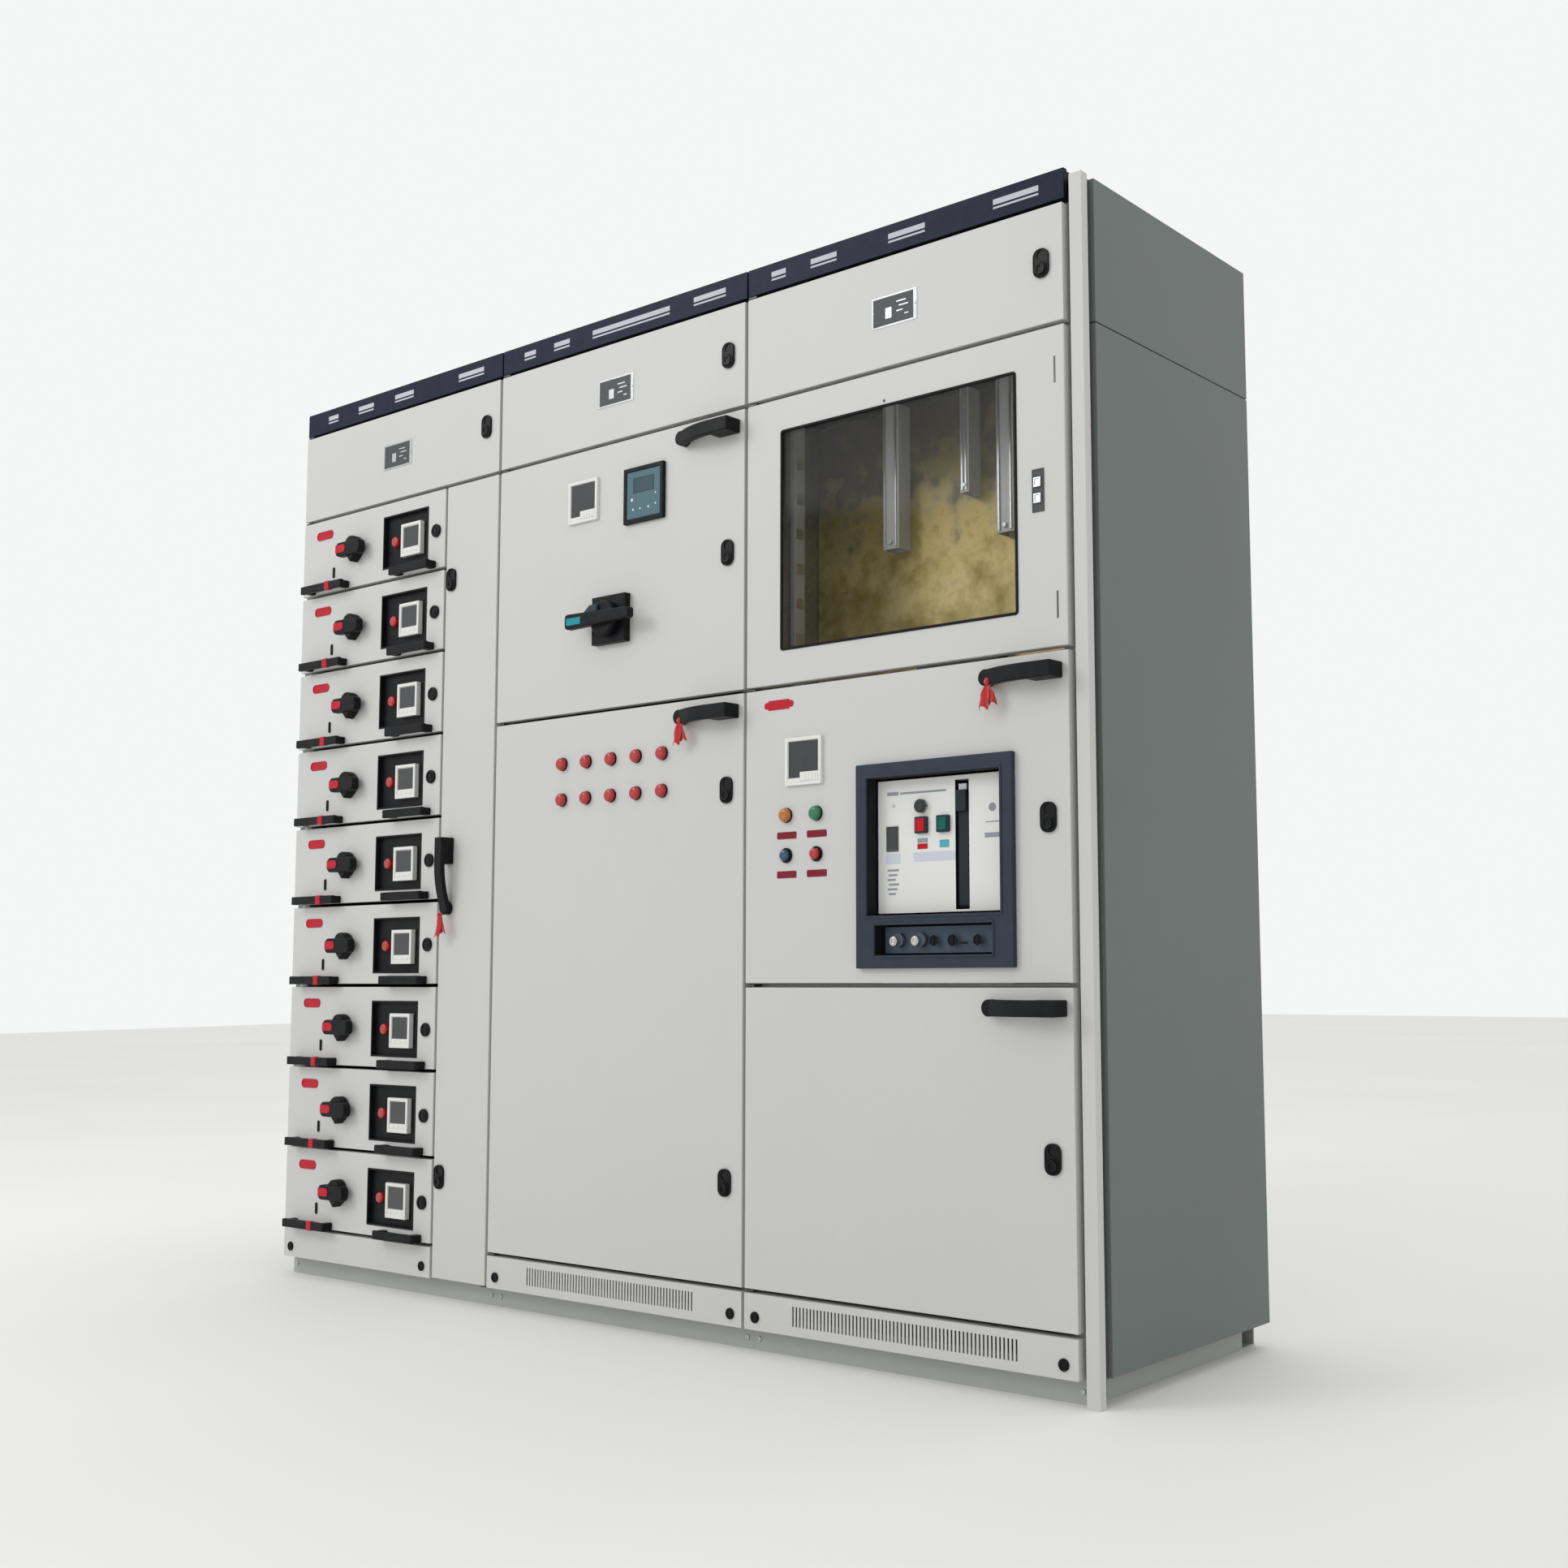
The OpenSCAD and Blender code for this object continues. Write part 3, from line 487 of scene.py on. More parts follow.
for node, material in [("base_frames", frame_coat), ("frame", frame_coat), ("partitions", sheet_zinc),
                       ("drawer_runners", bright_zinc), ("busbars", drawn_copper),
                       ("busbar_supports", resin), ("hinge_pivots", dull_zinc)]:
    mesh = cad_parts[node].data
    mesh.materials.clear()
    mesh.materials.append(material)

# Header boards. Navy enamelled plates over a black backing, one to a section, each with plain
# light bars in place of its markings.
enamel = moulded("navy_enamel", "#0A0E2B", 0.45, 4, 0.05)
white_print = moulded("white_print", "#B9BCC4", 0.5, 3, 0.1)
boards = soften(from_node("name_boards", "header_boards"), 1)
finish(boards, nylon, "navy_board", "cabinet", "name_boards")
boards.data.materials.append(enamel)
for face in boards.data.polygons:
    face.material_index = int(face.center.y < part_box("name_boards")[0].y + 11 * mm
                              and abs(face.normal.z) < 0.5)
board_front, board_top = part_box("name_boards")[0].y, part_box("name_boards")[1].z
bars = []
for middle, width in [(-1087, 42), (-945, 64), (-785, 76), (-520, 96), (-302, 40), (-190, 54), (40, 250),
                      (287, 96), (488, 40), (612, 70), (828, 92), (1090, 104)]:
    for drop, height in ((19, 11), (34, 4)):
        bar = block("bar", ((middle - width / 2) * mm, board_front - 0.4 * mm,
                            board_top - (drop + height) * mm),
                    ((middle + width / 2) * mm, board_front + 0.2 * mm, board_top - drop * mm))
        bars.append(soften(bar, 0.2, 1))
finish(join("header_bars", bars), white_print, "white_plastic", "cabinet")

# Rating plates. Thin anodised aluminium plates on the top doors, dark printed field, two rivets.
aluminium = zinc("anodised_aluminium", "#AEB0B1", "#96989A", 2, 0.42)
dark_print = moulded("dark_print", "#4A4C4D", 0.4, 2, 0.1)
for node in doors[:3]:
    low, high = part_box(node)
    middle = Vector(((low.x + high.x) / 2, front, low.z + 111 * mm))
    half = Vector((57 * mm, 0, 32 * mm))
    plate = block(node + "_plate", middle - half - Vector((0, 1 * mm, 0)), middle + half)
    soften(plate, 0.4)
    field = block("field", middle - half + Vector((4 * mm, -1.3 * mm, 4 * mm)),
                  middle + half + Vector((-9 * mm, 0, -4 * mm)))
    finish(soften(field, 0.2, 1), dark_print, "black_plastic", node)
    field.name = field.data.name = node + "_plate_field"
    marks = [soften(block("mark", middle + Vector((x0, -1.6, z0)) * mm, middle + Vector((x1, -1, z1)) * mm),
                    0.2, 1)
             for x0, z0, x1, z1 in ((-22, -16, -6, 6), (6, 12, 30, 15), (12, 3, 36, 6), (6, -7, 22, -4),
                                    (26, -16, 36, -13))]
    rivets = [soften(disc("rivet", (middle.x + s * 53 * mm, front - 2 * mm, middle.z), 2 * mm, 1.5 * mm, 16),
                     0.5) for s in (-1, 1)]
    finish(join(node + "_plate", [plate] + marks + rivets), aluminium,
           "zinc_bright", node)

# Locks. Black zinc die-cast escutcheons with round ends, a thumb hollow above and a round core
# below; the core turns with its cam behind the sheet. Three of them stay fast on their doors.
def mm_block(name, low, high, at=(0, 0, 0)):
    """A cube between two corners in millimetres, moved to a point in millimetres."""
    place = Vector(at)
    return block(name, (Vector(low) + place) * mm, (Vector(high) + place) * mm)


def mm_disc(name, at, radius, depth, sides=40):
    """A disc with its front face's middle at a point in millimetres."""
    return disc(name, Vector(at) * mm, radius * mm, depth * mm, sides)


die_cast = moulded("black_die_casting", "#0F1012", 0.36, 1.2, 0.15)
escutcheon = mm_block("escutcheon", (-17, -5, -27.5), (17, 0, 27.5))
blend(escutcheon, 15, 8, edges=depthwise)
step(escutcheon, (2.2, 1.2), (1.2, 0))
hub = mm_disc("hub", (0, -6, -11), 14.4, 2.2)
bore = mm_disc("bore", (0, -12, -11), 12.3, 20)
cut(soften(escutcheon, 0.8), mm_disc("hollow", (0, -9, 15), 9, 7, 32), copy(bore, "bore", (0, 0, 0)))
escutcheon = join("escutcheon", [escutcheon, cut(soften(hub, 0.9), bore)])
face = mm_disc("face", (0, -8.2, -11), 11, 5.6, 32)
step(face, (2.5, 0.8), (2.5, 0), (0, 1.5))
soften(face, 0.4)
for node, door in [("top_lock_left", "top_door_left"), ("top_lock_middle", "top_door_middle"),
                   ("top_lock_right", "top_door_right"), ("upper_door_lock", "upper_door"),
                   ("lower_door_lock", "lower_door"), ("breaker_door_lock", "breaker_door"),
                   ("base_door_lock", "base_door")]:
    low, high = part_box(node)
    place = ((low.x + high.x) / 2, front, high.z - 1 * mm)
    finish(copy(escutcheon, node + "_escutcheon", place), die_cast, "lock_metal", door)
    core = join(node + "_core", [soften(from_node(node, node + "_core"), 0.5), copy(face, "face", place)])
    finish(core, die_cast, "lock_metal", node, node)
low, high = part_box("cable_door")
lower_low, lower_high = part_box("lower_door")
for name, door, x, z in [("cable_door_top_lock", "cable_door", low.x + 23 * mm, high.z - 230 * mm),
                         ("cable_door_bottom_lock", "cable_door", low.x + 23 * mm, low.z + 231 * mm),
                         ("lower_door_bottom_lock", "lower_door", lower_high.x - 46 * mm,
                          lower_low.z + 202 * mm)]:
    fixed = [copy(escutcheon, "plate", (x, front, z)), copy(face, "face", (x, front, z)),
             soften(disc("core", (x, front - 4 * mm, z - 11 * mm), 12.4 * mm, 4 * mm), 0.3)]
    finish(join(name, fixed), die_cast, "lock_metal", door)
for model in (escutcheon, face):
    bpy.data.objects.remove(model)

# Door pulls. Glass-filled nylon: a deep block at one end, a grip that bows out from it and comes
# back to the sheet, and a round foot at the other end. Each is screwed on from behind.
pull = mm_block("pull", (25, -42, -13), (80, 0, 13))
pick(pull, faces=lambda c, n: n.x < -0.9)
bpy.ops.mesh.bisect(plane_co=(0, -28 * mm, 0), plane_no=(0, 1, 0))
bpy.ops.object.mode_set(mode="OBJECT")
pick(pull, faces=lambda c, n: n.x < -0.9 and c.y < -28 * mm)
bpy.ops.mesh.spin(steps=10, angle=radians(29.5), axis=(0, 0, 1), center=(25 * mm, 158 * mm, 0))
bpy.ops.mesh.select_all(action="SELECT")
bpy.ops.mesh.normals_make_consistent(inside=False)
bpy.ops.object.mode_set(mode="OBJECT")
foot = mm_disc("foot", (-66, -21, 0), 13.6, 21)
pull = join("pull", [soften(pull, 2.4, 3), soften(foot, 2, 3)])
pull.data.transform(Matrix.Translation((-5 * mm, 0, 0)) @ Matrix.Diagonal((1.09, 1, 1.14, 1)))
pull_places = {}
for name, door, node in [("upper_door_pull", "upper_door", "upper_instruments"),
                         ("lower_door_pull", "lower_door", "lower_door"),
                         ("breaker_door_pull", "breaker_door", "breaker_surround"),
                         ("base_door_pull", "base_door", "base_door")]:
    low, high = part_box(door)
    middle = Vector((low.x + 0.5 * (high.x - low.x), front, high.z))
    solids = [corners(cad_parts[node].data, g) for g in islands(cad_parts[node].data)]
    grips = [(a, b) for a, b in solids
             if 0.1 < b.x - a.x < 0.2 and a.y < front - 36 * mm and b.z - a.z < 0.05]
    place = (grips[0][0] + grips[0][1]) / 2 if grips else Vector((high.x - 93 * mm, 0, high.z - 40 * mm))
    pull_places[name] = Vector((place.x - 1.5 * mm, front, place.z))
    finish(copy(pull, name, pull_places[name]), nylon, "black_plastic", door)
low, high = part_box("cable_door")
pull.data.transform(Matrix.Diagonal((1.04, 0.86, 0.9, 1)))
pull.data.transform(Matrix.Rotation(radians(-90), 4, "Y"))
pull_places["cable_door_pull"] = Vector((low.x + 38 * mm, front, low.z + 932 * mm))
finish(copy(pull, "cable_door_pull", pull_places["cable_door_pull"]), nylon, "black_plastic", "cable_door")
bpy.data.objects.remove(pull)

# Ribbons. Strips of red woven polyester, 20 mm wide, tied round the feet of three pulls; the ends
# are cut to a fork and hang slack.
red_cloth, cloth_shader = new_material("red_woven_ribbon", "#B8201F", 0.7, Sheen_Weight=0.4)
warp = pattern(red_cloth, "Wave", 260, distortion=0.6)
weft = pattern(red_cloth, "Wave", 260, distortion=0.6)
weft.bands_direction = "Z"
cross = add(red_cloth, "Math", {0: warp.outputs["Fac"], 1: weft.outputs["Fac"]}, operation="MULTIPLY")
tint(red_cloth, cloth_shader, cross.outputs["Value"], "#A8100F", "#DB2A22")
relief(red_cloth, cloth_shader, cross.outputs["Value"], 0.5, 0.3 * mm)
folds = bpy.data.textures.new("folds", "CLOUDS")
folds.noise_scale = 0.016
for number, (name, door, offset) in enumerate([("cable_door", "cable_door", Vector((0, -0.026, -0.098))),
                                               ("lower_door", "lower_door", Vector((-0.068, -0.024, -0.011))),
                                               ("breaker_door", "breaker_door",
                                                Vector((-0.068, -0.024, -0.011)))]):
    knot_at = pull_places[door + "_pull"] + offset
    tails = []
    for side, length in ((-1, 50), (1, 42)):
        bpy.ops.object.select_all(action="DESELECT")
        bpy.ops.mesh.primitive_grid_add(x_subdivisions=6, y_subdivisions=16, size=1, rotation=(pi / 2, 0, 0))
        tail = bpy.context.object
        bpy.ops.object.transform_apply(location=False, rotation=True, scale=False)
        tail.data.transform(Matrix.Translation((0, 0, -0.5)))
        tail.data.transform(Matrix.Diagonal((20 * mm, 1, length * mm, 1)))
        for v in tail.data.vertices:
            down = -v.co.z / (length * mm)
            v.co.x *= 0.35 + 0.65 * min(1, 2.2 * down)
            if down > 0.9:
                v.co.z += 9 * mm * max(0, 1 - abs(v.co.x) / (8 * mm))
            v.co.x += side * 9 * mm * down
            v.co.y += side * 3 * mm * down + 2.5 * mm * sin(v.co.x / (3.2 * mm) + number)
        tails.append(tail)
    knot = primitive("ico_sphere", "knot", (0, 0, 2 * mm), subdivisions=3, radius=6 * mm)
    ribbon = join(name + "_ribbon", tails + [knot])
    ribbon.data.transform(Matrix.Translation(knot_at))
    bpy.context.view_layer.objects.active = ribbon
    wrinkles = ribbon.modifiers.new("wrinkles", "DISPLACE")
    wrinkles.texture = folds
    wrinkles.strength = 5 * mm
    bpy.ops.object.modifier_apply(modifier=wrinkles.name)
    thickness = ribbon.modifiers.new("thickness", "SOLIDIFY")
    thickness.thickness = 0.4 * mm
    bpy.ops.object.modifier_apply(modifier=thickness.name)
    bpy.ops.object.shade_smooth()
    finish(ribbon, red_cloth, "red_cap", door)

# Panel meters. White moulded bezels, 96 mm square, with a dark glass field and a low ribbed key
# strip at the right of its foot. They stand 7 mm proud and are clamped from behind.
white_case = moulded("white_polycarbonate", "#DBDBD8", 0.35, 2, 0.08)
dark_glass, glass_shader = new_material("dark_display_glass", "#0B0D10", 0.12, Coat_Weight=0.5)
smears = pattern(dark_glass, "Noise", 60, detail=4)
tint(dark_glass, glass_shader, smears.outputs["Fac"], "#08090B", "#22262A")


def make_meter(name, at, body, slot="white_plastic", size=96):
    """A meter with its front frame's back on the sheet at a point in millimetres."""
    k = size / 96
    case = mm_block("case", (-48 * k, -7, -48 * k), (48 * k, 16, 48 * k), at)
    step(case, (6 * k, 0), (1.2, 2.2))
    soften(case, 1)
    keys = soften(mm_block("keys", (-8 * k, -6.6, -40 * k), (40 * k, -4, -22 * k), at), 0.8)
    ribs = [soften(mm_block("rib", ((2 + 9 * i) * k, -7.6, -37 * k), ((7 + 9 * i) * k, -6, -25 * k), at),
                   0.5) for i in range(4)]
    lip = soften(mm_block("lip", (-41 * k, -6.4, -41 * k), (-8 * k, -4, -34 * k), at), 0.8)
    finish(join(name, [case, keys, lip] + ribs), white_case, slot, body)
    screen = mm_block(name + "_screen", (-39 * k, -5.4, -33 * k), (39 * k, -4.4, 40 * k), at)
    step(screen, (3 * k, 0.4))
    finish(soften(screen, 0.2, 1), dark_glass, "black_plastic", body)


make_meter("upper_door_meter", (-100, -328, 1799), "upper_door")
make_meter("breaker_door_meter", (565, -328, 1163), "breaker_door")

# Controller of the upper door. A 124 mm black frame round a teal-grey keypad film, with a darker
# display window and a few light marks under it.
film = moulded("teal_grey_film", "#4C6A72", 0.3, 3, 0.05)
film_dark = moulded("dark_teal_film", "#2F4A50", 0.2, 3, 0.05)
at = (99, -328, 1784)
shell = mm_block("controller_frame", (-62, -9, -62), (62, 16, 62), at)
step(shell, (8, 0), (1.5, 2.5))
finish(soften(shell, 1.4), nylon, "black_plastic", "upper_door", "upper_instruments")
pad = mm_block("controller_film", (-52, -7.2, -52), (52, -6, 52), at)
finish(soften(pad, 0.3), film, "slate_plastic", "upper_door")
window = mm_block("controller_display", (-32, -8, 4), (32, -6.8, 38), at)
step(window, (3, 0.5))
finish(soften(window, 0.3), film_dark, "black_plastic", "upper_door")
marks = [soften(mm_disc("mark", (at[0] + x, at[1] - 7.8, at[2] + z), r, 1, 16), 0.3)
         for x, z, r in ((-36, -10, 3.5), (38, -4, 2), (-32, -32, 2.5), (-10, -32, 2), (16, -32, 2.5),
                         (38, -28, 2))]
finish(join("controller_keys", marks), white_case, "white_plastic", "upper_door")

# Rotary isolator. A black square plate, a round hub and a long lever with a teal end; a slanted
# grey fin on the hub takes a padlock. The lever turns in the plate.
teal = moulded("teal_inlay", "#1B8A97", 0.3, 2, 0.08)
fin_grey = moulded("smoke_grey_fin", "#343B42", 0.3, 2, 0.08)
plate = mm_block("isolator_plate", (-53, -344, 1464), (53, -328, 1570))
step(plate, (4, -1))
finish(soften(plate, 1.5), nylon, "black_plastic", "upper_door")
hub = mm_disc("hub", (0, -364, 1517), 39, 18.8, 48)
lever = mm_block("lever", (-105, -378, 1500), (100, -360, 1534))
blend(lever, 9, 5, edges=depthwise)
pick(lever, faces=lambda c, n: c.x > 90 * mm)
bpy.ops.transform.resize(value=(1, 1, 0.72))
bpy.ops.object.mode_set(mode="OBJECT")
finish(join("isolator_lever", [soften(lever, 3, 3), soften(hub, 5, 3)]), nylon,
       "black_plastic", "isolator_handle", "isolator_handle")
inlay = mm_block("isolator_inlay", (-98, -378.8, 1508), (-52, -377, 1524))
finish(soften(inlay, 0.6), teal, "blue_cap", "isolator_handle")
fin = mm_block("isolator_fin", (-58, -371, 1528), (-8, -352, 1548))
pick(fin, edges=lambda a, b: min(a.z, b.z) > 1547 * mm and max(a.x, b.x) < -57 * mm)
bpy.ops.transform.translate(value=(26 * mm, 0, 0))
bpy.ops.object.mode_set(mode="OBJECT")
finish(soften(fin, 2, 3), fin_grey, "slate_plastic", "isolator_handle")

# Signal lamps and push buttons. Black moulded bezels, 30 mm across; ribbed polycarbonate lenses
# for the lamps, and domed caps for the two buttons, which move.
nickel = zinc("nickel_plate", "#C9C7C0", "#B4B1A8", 3, 0.26)
small = Matrix.Translation((0, -2.8 * mm, 0)) @ Matrix.Diagonal((0.8, 0.8, 0.8, 1))


def cap_plastic(name, colour):
    """Clear coloured polycarbonate: a wet shine, with moulded prisms about 2 mm across below it."""
    material, shader = new_material(name, colour, 0.28, Coat_Weight=0.4)
    prisms = pattern(material, "Voronoi", 500).outputs["Distance"]
    dark = add(material, "MixRGB", {"Fac": 1, "Color1": linear(colour), "Color2": (0.45, 0.45, 0.45, 1)},
               blend_type="MULTIPLY")
    mix = add(material, "MixRGB", {"Fac": prisms, "Color1": linear(colour), "Color2": dark.outputs["Color"]})
    material.node_tree.links.new(mix.outputs["Color"], shader.inputs["Base Color"])
    relief(material, shader, prisms, 0.15, 0.4 * mm)
    return material


red_cap = cap_plastic("red_polycarbonate", "#C41F1E")
green_cap = cap_plastic("green_polycarbonate", "#0E7F58")
orange_cap = cap_plastic("orange_polycarbonate", "#C9761A")
blue_cap = cap_plastic("blue_polycarbonate", "#23506F")
bezel = mm_disc("bezel", (0, -4, 0), 15, 4, 48)
step(bezel, (1.6, 0.8))
soften(bezel, 0.9)
dome = mm_disc("dome", (0, -14, 0), 14, 11, 48)
blend(dome, 7, 6, faces=lambda c, n: n.y < -0.9)
soften(dome, 0.3, 1, angle=50)
rows = [(x * mm, z * mm) for z in (1210, 1130) for x in (-160, -80, 0, 80, 160)]
finish(join("signal_lamp_bezels", [copy(bezel, "bezel", (x, front, z)) for x, z in rows]), nylon,
       "black_plastic", "lower_door")
finish(join("signal_lamp_lenses", [copy(dome, "dome", (x, front, z)) for x, z in rows]), red_cap,
       "lamp_lens", "lower_door", "signal_lamps")
places = [(x * mm, z * mm) for z in (1057, 977) for x in (517, 597)]
cut(bezel, mm_disc("hole", (0, -6, 0), 11.6, 8, 48))
finish(join("incomer_bezels", [copy(bezel, "bezel", (x, front, z)) for x, z in places]), nylon,
       "black_plastic", "breaker_door")
for colour, x, material, slot in (("orange", 517, orange_cap, "lamp_lens"),
                                   ("green", 597, green_cap, "green_cap")):
    finish(copy(dome, f"incomer_{colour}_lens", (x * mm, front, 1057 * mm)), material, slot, "breaker_door")
dome.data.transform(small)
dome = join("cap", [dome, soften(mm_disc("stem", (0, -6, 0), 9.6, 18), 0.4)])
for node, x, material, slot in (("blue_button", 517, blue_cap, "blue_cap"),
                                ("red_button", 597, red_cap, "red_cap")):
    finish(copy(dome, node + "_cap", (x * mm, front, 977 * mm)), material, slot, node, node)
for model in (bezel, dome):
    bpy.data.objects.remove(model)

# Window. Toughened glass in a black rubber edge, with rounded corners; a latch plate with two
# small keys and two slots stand beside it, and behind it the plates and channels show.
window_low, window_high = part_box("window_glass")
lap = Vector((11.5 * mm, 0, 11.5 * mm))
edge = ring("window_rubber", Vector((window_low.x, front - 2.5 * mm, window_low.z)) + lap,
            Vector((window_high.x, front + 1.8 * mm, window_high.z)) - lap, 5.5 * mm, 7)
finish(soften(edge, 1.2, 3), rubber, "black_plastic", "window_door")
glass, glass_shade = new_material("toughened_glass", "#0B0E0D", 0.06, Specular_IOR_Level=0.2)
film_noise = pattern(glass, "Noise", 5, detail=3)
film_haze = add(glass, "MapRange", {"Value": film_noise.outputs["Fac"], "To Min": 0.1, "To Max": 0.18})
glass.node_tree.links.new(film_haze.outputs["Result"], glass_shade.inputs["Alpha"])
pane = soften(from_node("window_glass", "window_pane"), 1)
finish(pane, glass, "pane", "window_door", "window_glass")
plate = mm_block("latch_plate", (1123, -330, 1575), (1149, -328, 1655))
step(plate, (3, 0.6))
finish(soften(plate, 0.6), dark_print, "slate_plastic", "window_door")
keys = []
for z in (1630, 1600):
    key = mm_block("key", (1128, -333, z - 9), (1144, -329, z + 9))
    step(key, (3, 1.2))
    keys.append(soften(key, 0.8))
finish(join("latch_keys", keys), bright_zinc, "zinc_bright", "window_door")
slots = [soften(mm_block("slot", (1173, -328.5, z - 25), (1177, -327.8, z + 25)), 0.2, 1)
         for z in (1834, 1400)]
slots.append(soften(mm_disc("screw", (773, -329.4, 1856), 3, 2, 16), 0.6))
finish(join("window_door_slots", slots), dull_zinc, "zinc_plate", "window_door")

# Mounting plates and channels. Steel with a yellow chromate film, mottled gold to olive in patches
# of a few centimetres; light slotted channels hang in front of the upper right plate.
gold, gold_shader = new_material("yellow_chromate_plate", "#9A8644", 0.42, Metallic=0.35)
gold_at = add(gold, "TexCoord").outputs["Object"]
patches = pattern(gold, "Noise", 11, detail=6, roughness=0.65)
gold_ramp = add(gold, "MapRange", {"Value": patches.outputs["Fac"], "From Min": 0.35, "From Max": 0.65})
gold_tint = add(gold, "MixRGB", {"Fac": gold_ramp.outputs["Result"], "Color1": linear("#A08C48"),
                                 "Color2": linear("#EAD694")})
# Painted shade: from about 1.6 m up the plates turn dark grey-green, with a ragged edge, standing in for the
# shade in the top of the bay.
gold_up = add(gold, "SeparateXYZ", {"Vector": gold_at}).outputs["Z"]
shade_line_height = add(gold, "Math", {0: gold_up, 1: patches.outputs["Fac"]})
painted_shade_share = add(gold, "MapRange", {"Value": shade_line_height.outputs["Value"], "From Min": 2.12, "From Max": 2.32,
                                   "To Max": 0.86})
gold_with_painted_shade = add(gold, "MixRGB", {"Fac": painted_shade_share.outputs["Result"], "Color1": gold_tint.outputs["Color"],
                                 "Color2": linear("#3A3D38")})
gold.node_tree.links.new(gold_with_painted_shade.outputs["Color"], gold_shader.inputs["Base Color"])
plates = from_node("mounting_plates", "mounting_sheets", keep=lambda low, high: high.x - low.x > 0.1)
finish(soften(plates, 0.6, 1), gold, "zinc_plate", "cabinet", "mounting_plates")
channel_paint = powder_coat("channel_white_coat", "#D8DAD6", "#C2C4C0")
strips = from_node("mounting_plates", "mounting_channels", keep=lambda low, high: high.x - low.x < 0.1)
finish(soften(strips, 0.8, 1), channel_paint, "zinc_bright", "cabinet")
bay = [corners(strips.data, group) for group in islands(strips.data)]
bay_y = max(high.y for low, high in bay) / mm
rails = []
for low, high in bay:
    if high.z - low.z < 0.4:
        x0, x1, y, z = low.x / mm, high.x / mm, low.y / mm, low.z / mm
        rails += [soften(mm_block("rail", (x0 + 4, y - 3, z + 4), (x0 + 9, y, high.z / mm - 1)), 0.8),
                  soften(mm_block("rail", (x1 - 9, y - 3, z + 4), (x1 - 4, y, high.z / mm - 1)), 0.8),
                  soften(mm_disc("bolt", ((x0 + x1) / 2, y - 5, z + 14), 5, 5, 6), 0.6)]
    else:
        rails += [soften(mm_block("rung", (high.x / mm, low.y / mm + 6, low.z / mm + 40 + 75 * k),
                                  (high.x / mm + 2, high.y / mm - 6, low.z / mm + 62 + 75 * k)), 0.5)
                  for k in range(7)]
finish(join("channel_fittings", rails), bright_zinc, "zinc_bright", "cabinet")
duct = mm_block("cable_duct", (700, bay_y - 34, 1326), (905, bay_y - 0.4, 1402))
step(duct, (4, 1.5))
finish(soften(duct, 1.2), dark_print, "slate_plastic", "cabinet")

# Labels. Engraved laminate plates with a plain raised bar in place of their markings.
maroon = moulded("maroon_laminate", "#7A1A2A", 0.4, 2, 0.06)
label_red = moulded("red_laminate", "#B3182C", 0.35, 2, 0.06)


def label(name, x, z, width, height, body, material, slot, y=-328):
    """A small plate with rounded corners on a sheet's front."""
    plate = mm_block(name, (x - width / 2, y - 0.9, z - height / 2), (x + width / 2, y, z + height / 2))
    blend(plate, min(2.5, height / 4), 4, edges=depthwise)
    bar = mm_block("bar", (x - 0.36 * width, y - 1.1, z - 0.1 * height),
                   (x + 0.36 * width, y - 0.8, z + 0.1 * height))
    return finish(join(name, [soften(plate, 0.3), soften(bar, 0.2, 1)]), material, slot, body)


for x, z in ((517, 1017), (597, 1017), (517, 939), (597, 939)):
    label(f"incomer_label_{x}_{z}", x, z, 52, 14, "breaker_door", maroon, "red_cap")
tab = label("breaker_door_label", 495, 1282, 58, 20, "breaker_door", label_red, "red_cap")
ears = [soften(mm_disc("ear", (495 + s * 33, -328.7, 1282), 7, 0.7, 24), 0.3) for s in (-1, 1)]
finish(join("breaker_door_label", [tab] + ears), label_red, "red_cap", "breaker_door")

# Breaker surround. A slate-blue moulded frame with a fine raised bead round each opening and
# black inner walls; it is clamped to the door.
slate = moulded("slate_blue_moulding", "#2F3743", 0.42, 1.6, 0.2)
surround = from_node("breaker_surround", "surround_frame", keep=lambda low, high: high.x - low.x > 0.3)
soften(surround, 1.6, 3)
surround_low, surround_high = corners(surround.data)
finish(surround, slate, "slate_plastic", "breaker_door", "breaker_surround")
surround.data.materials.append(rubber)
for face in surround.data.polygons:
    c = face.center
    if abs(face.normal.y) < 0.6 and surround_low.x + 20 * mm < c.x < surround_high.x - 20 * mm \
            and surround_low.z + 18 * mm < c.z < surround_high.z - 18 * mm:
        face.material_index = 1
beads = []
for x0, z0, x1, z1 in ((735, 852, 1049, 1114), (754, 777, 1030, 833)):
    bead = ring("bead", Vector((x0 - 5, -341.6, z0 - 5)) * mm, Vector((x1 + 5, -339.4, z1 + 5)) * mm,
                4 * mm, 3)
    beads.append(soften(bead, 0.9))
finish(join("surround_beads", beads), slate, "slate_plastic", "breaker_door")

# Air circuit breaker. A white moulded face on a slate case with copper terminals; the charging
# lever stands in a dark slot. The face has a knob, a display, two position windows and printed
# fields, all left plain.
body = soften(from_node("breaker_body", "breaker_case"), 1)
finish(body, white_case, "white_plastic", "breaker_body", "breaker_body")
for extra in (slate, drawn_copper, rubber):
    body.data.materials.append(extra)
for face in body.data.polygons:
    c = face.center
    in_slot = 0.924 < c.x < 0.960 and 0.855 < c.z < 1.095 and c.y > -0.309
    face.material_index = 2 if c.y > 0.05 else 1 if c.y > -0.24 else 3 if in_slot else 0
face_y = -310
grey_print = moulded("grey_print", "#8E9299", 0.4, 2, 0.05)
pale_print = moulded("pale_blue_print", "#C3C8D2", 0.4, 2, 0.05)


def field(name, x0, z0, x1, z1, rise=0.4, round_off=0.2):
    """A thin raised field on the breaker's face."""
    return soften(mm_block(name, (x0, face_y - rise, z0), (x1, face_y + 0.2, z1)), round_off, 1)


